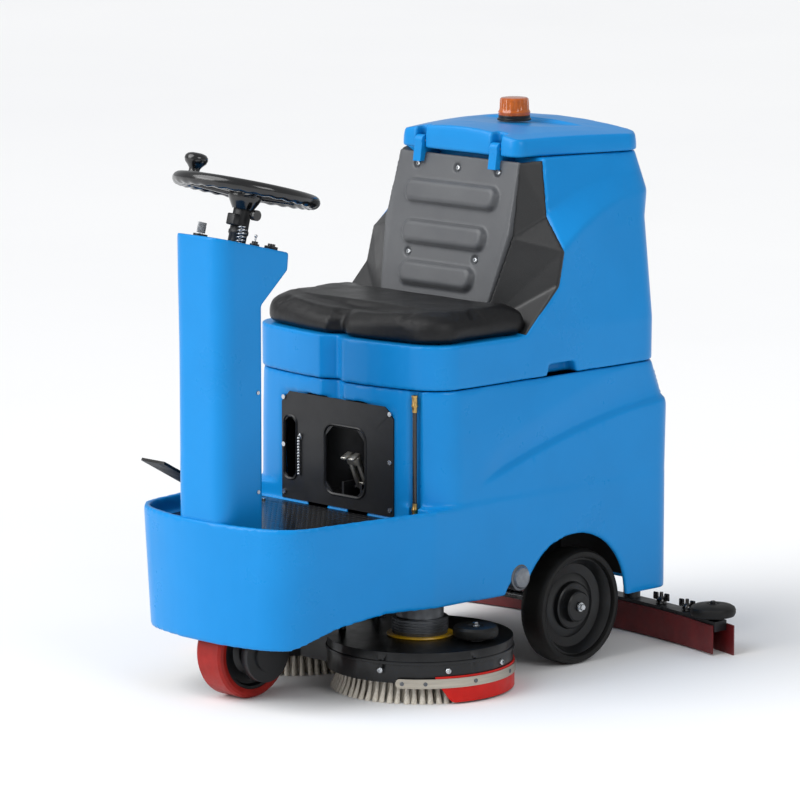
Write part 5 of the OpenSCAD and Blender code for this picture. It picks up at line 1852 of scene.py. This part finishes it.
@dataclass
class BrushDeck:
    """The twin disc brushes, their cover, skirts and edge rollers."""

    brush_x: float = 0.192
    brush_y: float = -0.148
    cover_r: float = 0.196
    bristle_low_r: float = 0.187
    bristle_high: float = 0.043
    roller: Place = (0.320, -0.112, 0.131)
    roller_r: float = 0.0475
    motor_r: float = 0.058
    rows: tuple[tuple[float, int], ...] = (
        (0.170, 66), (0.156, 60), (0.141, 54), (0.124, 46), (0.104, 38), (0.082, 28)
    )

    def _round(self, side: int, angle: float, radius: float, z: float) -> Vector:
        """Gives a point round one brush.

        Args:
            side: 1 for the left brush and -1 for the right.
            angle: Degrees from straight outwards towards the rear.
            radius: Distance from the brush's axis.
            z: Height.

        Returns:
            The point.
        """
        a = math.radians(angle)
        return Vector((side * (self.brush_x + radius * math.cos(a)), self.brush_y + radius * math.sin(a), z))

    def _band(
        self, side: int, start: float, end: float, inner: float, outer: float, low: Callable[[float], float],
        high: Callable[[float], float], step: float = 2.0
    ) -> Mesh:
        """Gives a curved band round a brush.

        Args:
            side: 1 for the left brush and -1 for the right.
            start: First angle in degrees.
            end: Last angle in degrees.
            inner: Inner radius.
            outer: Outer radius.
            low: The lower edge's height at an angle.
            high: The upper edge's height at an angle.
            step: Degrees between sections.

        Returns:
            The band's mesh.
        """
        bm = bmesh.new()
        count = max(2, round((end - start) / step))
        rings = []
        for i in range(count + 1):
            a = start + (end - start) * i / count
            corners = ((inner, low(a)), (outer, low(a)), (outer, high(a)), (inner, high(a)))
            rings.append([self._round(side, a, r, z) for r, z in corners])
        loft(bm, rings)
        return bm

    def _tufts(self, side: int, word: str) -> None:
        """Makes one brush's bristle tufts in rings.

        Args:
            side: 1 for the left brush and -1 for the right.
            word: The side's word in the names.
        """
        bm = bmesh.new()
        for row, (radius, count) in enumerate(self.rows):
            flare = 0.014 if row == 0 else 0.008
            for k in range(count):
                angle = 360.0 * (k + 0.5 * (row % 2)) / count
                lean = noise.noise(Vector((k * 1.7, row * 3.1, side))) * 2.2
                fat = 0.0052 + 0.0008 * noise.noise(Vector((k * 0.9, row, 4.0)))
                rings = []
                for z, out, wide in (
                    (self.bristle_high, 0.0, 0.62), (0.022, flare * 0.35, 0.85), (0.004, flare * 0.9, 1.18),
                    (0.0006, flare, 1.22)
                ):
                    middle = self._round(side, angle + lean * (1 - z / self.bristle_high), radius + out, z)
                    a = math.radians(angle)
                    along = Vector((-side * math.sin(a), math.cos(a), 0))
                    away = Vector((side * math.cos(a), math.sin(a), 0))
                    rings.append(
                        [
                            middle + along * (fat * wide * math.cos(TURN * s / 8)) + away * (
                                fat * wide * 0.9 * math.sin(TURN * s / 8)
                            ) for s in range(8)
                        ]
                    )
                loft(bm, rings)
        Kit.piece("bristle_tufts_" + word, bm, "brush_" + word, BRISTLE, 50, 0.0, ["bristles_" + word])

    def _cover_details(self, side: int, word: str) -> None:
        """Makes the lip, the bolts, the skirt and its strap on one side.

        Args:
            side: 1 for the left brush and -1 for the right.
            word: The side's word in the names.
        """
        lip = bmesh.new()
        profile = [(0.1945, 0.0835), (0.1985, 0.0850), (0.1992, 0.0880), (0.1985, 0.0910), (0.1945, 0.0925)]
        lathe(lip, profile + profile[:1], (side * self.brush_x, self.brush_y, 0), steps=128)
        tool = bmesh.new()
        inside = sorted((side * 0.02, side * -0.3))
        block(tool, (inside[0], -0.5, 0.0), (inside[1], 0.3, 0.2))
        ring_piece = Kit.raw("deck_lip_" + word, lip)
        Kit.boolean(ring_piece, [tool])
        Kit.dress(ring_piece, "deck", BLACK_ABS, 35)
        skirt = self._band(
            side, -36, 96, 0.1963, 0.1990, lambda a: 0.004 + 0.040 * smoothstep(-24.0, -36.0, a),
            lambda a: 0.060
        )
        Kit.piece(
            "splash_skirt_" + word, skirt, "deck", RED_SKIRT, 40, 0.4 * MM,
            ["deck_skirts"] if side > 0 else []
        )

        def taper(a: float) -> float:
            """Narrows the strap to a rounded end."""
            near = min(a + 60.0, 92.0 - a)
            return 0.010 * math.sqrt(max(0.05, 1 - max(0.0, 1 - near / 2.6) ** 2))

        strap = self._band(
            side, -60, 92, 0.1993, 0.2011, lambda a: 0.046 - taper(a), lambda a: 0.046 + taper(a), 0.65
        )
        Kit.piece(
            "skirt_strap_" + word, strap, "deck", BRUSHED_STEEL, 35, 0.3 * MM,
            ["skirt_straps"] if side > 0 else []
        )
        bolts = bmesh.new()
        for angle in (-56, -42, -10, 24, 58, 86):
            place = self._round(side, angle, 0.2012, 0.046)
            out = place - self._round(side, angle, 0.1, 0.046)
            lathe(
                bolts, [(0.0, 0.0026), (0.0022, 0.0024), (0.0042, 0.0012), (0.0048, -0.001), (0.0, -0.001)],
                place, steps=16, matrix=out.to_track_quat("Z", "Y").to_matrix().to_4x4()
            )
        Kit.piece("strap_rivets_" + word, bolts, "deck", CAST_METAL, slot=BRIGHT_STEEL.slot)
        heads = bmesh.new()
        for angle in (-70, -28, 14, 60):
            place = self._round(side, angle, 0.1972, 0.0715)
            hex_bolt(heads, place, place - self._round(side, angle, 0.1, 0.0715), 0.0135, True)
        Kit.piece("deck_bolts_" + word, heads, "deck", BRIGHT_STEEL, 40)

    def _roller(self, side: int, word: str) -> None:
        """Makes one edge roller with its bolt.

        Args:
            side: 1 for the left hand and -1 for the right.
            word: The side's word in the names.
        """
        x, y, z = self.roller
        bm = bmesh.new()
        h = 0.0123
        r = self.roller_r
        profile = [
            (0.0062, h - 0.004), (0.014, h - 0.004), (0.017, h - 0.001), (0.038, h), (0.044, h - 0.0018)
        ]
        profile += [(r, h - 0.007), (r, -h + 0.004), (0.045, -h), (0.017, -h), (0.0062, -h + 0.003)]
        lathe(bm, profile + profile[:1], (side * x, y, z), steps=80)
        Kit.piece(
            "edge_roller_" + word, bm, "deck_wheel_" + word, BLACK_RUBBER, 32, 0.0, ["deck_roller_" + word]
        )
        bm = bmesh.new()
        hex_bolt(bm, (side * x, y, z + h - 0.002), (0, 0, 1), 0.017)
        Kit.piece("edge_roller_bolt_" + word, bm, "deck", BRIGHT_STEEL, 30)

    def _motor(self, side: int, word: str) -> None:
        """Makes the enamel ring and the cooling ribs on one brush motor.

        Args:
            side: 1 for the left hand and -1 for the right.
            word: The side's word in the names.
        """
        centre = (side * self.brush_x, self.brush_y, 0)
        bm = bmesh.new()
        lathe(
            bm,
            [
                (0.050, 0.1105), (0.070, 0.1105), (0.071, 0.112), (0.070, 0.1145), (0.050, 0.1145),
                (0.050, 0.1105)
            ], centre, steps=64
        )
        Kit.piece("motor_seat_ring_" + word, bm, "deck", YELLOW_ENAMEL, 35)
        bm = bmesh.new()
        profile = [(0.052, 0.118)]
        for k in range(5):
            z = 0.121 + 0.006 * k
            profile += [(0.0585, z), (0.0600, z + 0.001), (0.0600, z + 0.003), (0.0585, z + 0.004)]
        profile += [(0.052, 0.149), (0.052, 0.118)]
        lathe(bm, profile, centre, steps=72)
        Kit.piece("motor_cooling_ribs_" + word, bm, "deck", CAST_METAL, 35)

    def build(self) -> None:
        """Makes both sides and dresses the carried-over pieces."""
        for side, word in SIDES:
            self._tufts(side, word)
            self._cover_details(side, word)
            self._roller(side, word)
            self._motor(side, word)
            Kit.carry(BLACK_ABS, 1.2, "brush_block_" + word)
        Kit.carry(BLACK_ABS, 1.5, "brush_deck")
        Kit.carry(CAST_METAL, 1.5, "brush_motors")
        Kit.carry(BLACK_STEEL, 0.8, "lift_actuator")
        Kit.carry(BRIGHT_STEEL, 0.8, "actuator_rod")


@dataclass
class Squeegee:
    """The curved suction squeegee behind the machine."""

    arc_r: float = 1.600
    rear: float = 0.608
    roller_x: float = 0.412
    roller_r: float = 0.050
    roller_z: float = 0.0935
    knobs: tuple[float, ...] = (-0.320, -0.230, -0.070, 0.230, 0.320)

    def _line(self, x: float, back: float) -> float:
        """Gives the arc's place along Y at x, moved forward by back."""
        return self.rear - back - (self.arc_r - math.sqrt(self.arc_r**2 - x * x))

    def _strip(self, half: float, near: float, far: float, low: float, high: float, steps: int = 48) -> Mesh:
        """Gives a strip that follows the squeegee's arc.

        Args:
            half: Half its length.
            near: Distance forward of the arc to its back face.
            far: Distance forward of the arc to its front face.
            low: Its lower edge.
            high: Its upper edge.
            steps: Sections along it.

        Returns:
            The strip's mesh.
        """
        bm = bmesh.new()
        rings = []
        for i in range(steps + 1):
            x = -half + 2 * half * i / steps
            corners = ((near, low), (far, low), (far, high), (near, high))
            rings.append([(x, self._line(x, back), z) for back, z in corners])
        loft(bm, rings)
        return bm

    def _knob(self, bm: Mesh, x: float) -> None:
        """Adds one wing nut on its stud.

        Args:
            bm: The mesh being built.
            x: Its place across.
        """
        y = self._line(x, 0.024)
        lathe(
            bm,
            [
                (0.0, 0.026), (0.004, 0.026), (0.0045, 0.016), (0.009, 0.013), (0.012, 0.006), (0.012, 0.0),
                (0.0, 0.0)
            ], (x, y, 0.0745), steps=20
        )
        for side in (-1, 1):
            block(
                bm, (x + side * 0.016 - 0.007, y - 0.003, 0.082),
                (x + side * 0.016 + 0.007, y + 0.003, 0.099), 0.0025
            )

    def build(self) -> None:
        """Makes the blades' edges, the knobs and the rollers."""
        Kit.carry(BLACK_STEEL, 1.5, "squeegee_frame")
        Kit.carry(BLACK_STEEL, 1.0, "squeegee_bracket")
        bm = self._strip(0.470, 0.0, 0.004, 0.0, 0.066)
        Kit.piece("squeegee_blade_rear", bm, "squeegee", RED_BLADE, 40, 0.5 * MM, ["blade_rear"])
        bm = self._strip(0.440, 0.0435, 0.0475, 0.003, 0.066)
        Kit.piece("squeegee_blade_front", bm, "squeegee", RED_BLADE, 40, 0.5 * MM, ["blade_front"])
        bm = self._strip(0.446, -0.0028, -0.0004, 0.046, 0.064)
        Kit.piece("blade_clamp_strip", bm, "squeegee", BLACK_STEEL, 40, 0.5 * MM)
        bm = bmesh.new()
        for x in self.knobs:
            self._knob(bm, x)
        Kit.piece("squeegee_wing_nuts", bm, "squeegee", GLOSS_BLACK, 35)
        bm = bmesh.new()
        for k in range(13):
            x = -0.42 + 0.84 * k / 12
            place = Vector((x, self._line(x, -0.0028), 0.055))
            lathe(
                bm, [(0.0, 0.003), (0.003, 0.0028), (0.0045, 0.001), (0.005, -0.001), (0.0, -0.001)], place,
                Axis.Y, 14
            )
        Kit.piece("clamp_strip_pins", bm, "squeegee", RED_TREAD, 40)
        for side, word in SIDES:
            x = side * self.roller_x
            y = (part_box("squeegee_roller_" + word)[0].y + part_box("squeegee_roller_" + word)[1].y) / 2
            bm = bmesh.new()
            r = self.roller_r
            profile = [(0.0062, 0.0105), (0.012, 0.0105), (0.016, 0.0128), (0.030, 0.0122), (0.041, 0.0098)]
            profile += [(0.0475, 0.006), (r, 0.001), (r, -0.006), (0.047, -0.0125), (0.0062, -0.0125)]
            lathe(bm, profile + profile[:1], (x, y, self.roller_z), steps=80)
            Kit.piece(
                "wall_roller_" + word, bm, "squeegee_wheel_" + word, BLACK_RUBBER, 32, 0.0,
                ["squeegee_roller_" + word]
            )
            bm = bmesh.new()
            hex_bolt(bm, (x, y, self.roller_z + 0.0108), (0, 0, 1), 0.018)
            Kit.piece("wall_roller_bolt_" + word, bm, "squeegee", BLACK_STEEL, 30)


# --------------------
# Footwell and small fittings
# --------------------


@dataclass
class Footwell:
    """The kick panel, its windows' lips, the lift lever, mat and pedal."""

    panel_y: float = -0.204
    left_window: tuple[float, float, float, float] = (-0.158, -0.126, 0.409, 0.539)
    right_window: tuple[float, float, float, float] = (-0.034, 0.082, 0.393, 0.535)
    lever_pivot: Place = (0.042, -0.166, 0.407)
    lever_lean: float = 24.0

    def _lip(self, name: str, window: tuple[float, float, float, float], radius: float) -> None:
        """Makes the rolled lip round a window of the panel.

        Args:
            name: The piece's name.
            window: Lowest and highest x, then lowest and highest z.
            radius: The window's corner radius.
        """
        x0, x1, z0, z1 = window
        bm = bmesh.new()
        rings = []
        for inset, y in (
            (-0.0005, self.panel_y - 0.0005), (-0.0035, self.panel_y - 0.0026),
            (-0.0060, self.panel_y - 0.0010), (-0.0060, self.panel_y + 0.0010),
            (-0.0005, self.panel_y + 0.0030)
        ):
            outline = round_rect((x1 - x0) / 2 - inset, (z1 - z0) / 2 - inset, radius - inset, 6)
            rings.append([((x0 + x1) / 2 + a, y, (z0 + z1) / 2 + b) for a, b in outline])
        loops = [ring(bm, points) for points in rings]
        for low, high in zip(loops, loops[1:] + loops[:1]):
            bmesh.ops.bridge_loops(bm, edges=low + high)
        Kit.piece(name, bm, "machine", BLACK_ABS, 45)

    def _bay(self) -> None:
        """Makes the black box behind the panel's windows: painted shade for the dark inside seen through
        them.
        """
        bm = bmesh.new()
        low, high = (-0.170, self.panel_y + 0.018, 0.372), (0.150, -0.100, 0.592)
        block(bm, low, high)
        front = [f for f in bm.faces if f.calc_center_median().y < low[1] + 1e-4]
        bmesh.ops.delete(bm, geom=front, context="FACES")
        bmesh.ops.recalc_face_normals(bm, faces=bm.faces)
        bmesh.ops.reverse_faces(bm, faces=bm.faces)
        bmesh.ops.solidify(bm, geom=bm.faces[:], thickness=-0.003)
        Kit.piece("panel_bay_painted_shade", bm, "machine", BLACK_ABS, 40)

    def _lever(self) -> None:
        """Makes the twin-legged lift lever with its grooved head."""
        bm = bmesh.new()
        for x in (-0.012, 0.012):
            block(bm, (x - 0.0055, -0.005, -0.004), (x + 0.0055, 0.005, 0.066), 0.0022)
        block(bm, (-0.019, -0.007, 0.056), (0.019, 0.006, 0.078), 0.003)
        for x in (-0.0115, 0.0115):
            block(bm, (x - 0.0075, -0.020, 0.076), (x + 0.0075, 0.006, 0.083), 0.0025)
        block(bm, (-0.0175, -0.003, 0.006), (0.0175, 0.003, 0.012), 0.0015)
        place = Matrix.Translation(self.lever_pivot) @ Matrix.Rotation(math.radians(self.lever_lean), 4, "X")
        bmesh.ops.transform(bm, matrix=place, verts=bm.verts)
        Kit.piece("lift_lever_fork", bm, "lever", PALE_METAL, 35, 0.0, ["lift_lever"])

    def _bead_chain(self) -> None:
        """Makes the short row of bright beads pinned beside the left window."""
        bm = bmesh.new()
        x, y = -0.112, self.panel_y - 0.0042
        for k in range(13):
            made = bmesh.ops.create_uvsphere(bm, u_segments=14, v_segments=8, radius=0.0034)["verts"]
            bmesh.ops.translate(bm, vec=(x, y, 0.497 - 0.0064 * k), verts=made)
        sweep(
            bm, [(x, y, 0.502), (x + 0.004, y, 0.507), (x + 0.006, y, 0.503), (x + 0.005, y + 0.003, 0.496)],
            0.0020, 10
        )
        Kit.piece("drain_bead_chain", bm, "machine", BRIGHT_STEEL, 60)

    def _sight_tube(self) -> None:
        """Makes the water level tube and its two hose tails."""
        low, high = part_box("level_tube")
        x, y = (low.x + high.x) / 2, (low.y + high.y) / 2
        bm = bmesh.new()
        lathe(
            bm,
            [(0.0, low.z + 0.006), (0.0048, low.z + 0.006), (0.0048, high.z - 0.006), (0.0, high.z - 0.006)],
            (x, y, 0), steps=32
        )
        Kit.piece("level_sight_tube", bm, "machine", SIGHT_TUBE, 40, 0.0, ["level_tube"])
        bm = bmesh.new()
        for base, sign in ((low.z, 1), (high.z, -1)):
            profile = [
                (0.0, 0.0), (0.0068, 0.0), (0.0070, 0.004), (0.0060, 0.006), (0.0062, 0.018), (0.0072, 0.020)
            ]
            profile += [(0.0072, 0.024), (0.0056, 0.027), (0.0056, 0.036), (0.0, 0.036)]
            lathe(bm, [(r, sign * h) for r, h in profile], (x, y, base), steps=32)
        Kit.piece("level_tube_tails", bm, "machine", BRASS, 35)

    def _filter(self) -> None:
        """Makes the water filter: a clear bowl in a facetted ring."""
        low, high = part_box("water_filter")
        y, z = (low.y + high.y) / 2, (low.z + high.z) / 2
        bm = bmesh.new()
        bowl = [(0.0, high.x), (0.016, high.x), (0.0205, high.x - 0.002), (0.0225, high.x - 0.007)]
        bowl += [(0.0235, high.x - 0.022), (0.0235, low.x + 0.012), (0.0, low.x + 0.012)]
        lathe(bm, bowl, (0, y, z), Axis.X, 64)
        Kit.piece("filter_bowl", bm, "machine", CLEAR_BOWL, 30, 0.0, ["water_filter"])
        bm = bmesh.new()
        nut = [(0.0240, high.x - 0.026), (0.0285, high.x - 0.024), (0.0295, high.x - 0.020)]
        nut += [(0.0295, high.x - 0.012), (0.0280, high.x - 0.008), (0.0236, high.x - 0.007)]
        lathe(bm, nut + [(0.0236, high.x - 0.026), nut[0]], (0, y, z), Axis.X, 24)
        lathe(
            bm, [(0.0, low.x), (0.026, low.x), (0.026, low.x + 0.014), (0.0, low.x + 0.014)], (0, y, z),
            Axis.X, 48
        )
        Kit.piece("filter_lock_ring", bm, "machine", CAST_METAL, 25, 0.6 * MM)

    def build(self) -> None:
        """Makes the footwell's pieces and dresses the carried-over nodes."""
        self._lip("left_window_lip", self.left_window, 0.012)
        self._lip("right_window_lip", self.right_window, 0.022)
        self._bay()
        self._lever()
        self._bead_chain()
        self._sight_tube()
        self._filter()
        Kit.carry(BLACK_STEEL, 1.0, "kick_panel")
        Kit.carry(STUDDED_MAT, 1.0, "platform_mat")
        Kit.carry(BLACK_STEEL, 0.8, "pedal_bracket")
        Kit.carry(BLACK_RUBBER, 2.0, "accelerator_pedal")
        Kit.carry(BRIGHT_STEEL, 0.4, "cover_screws")
        Kit.carry(BATTERY_CASE, 2.0, "batteries")
        Kit.carry(CAST_METAL, 1.5, "vacuum_motor")
        Kit.carry(BLACK_ABS, 1.5, "drain_cap")
        Kit.carry(BRIGHT_STEEL, 0.5, "hinge_pins")


def main() -> None:
    logging.basicConfig(level=logging.INFO, format="%(message)s")
    assemblies = (
        Studio(), LowerBody(), UpperTank(), TankLid(), Beacon(), ColumnCover(), SeatSurround(), SeatCushion(),
        Steering(), Wheels(), BrushDeck(), Squeegee(), Footwell()
    )
    for assembly in assemblies:
        LOG.info("building %s", type(assembly).__name__)
        assembly.build()
    bpy.context.view_layer.update()


if __name__ == "__main__":
    main()
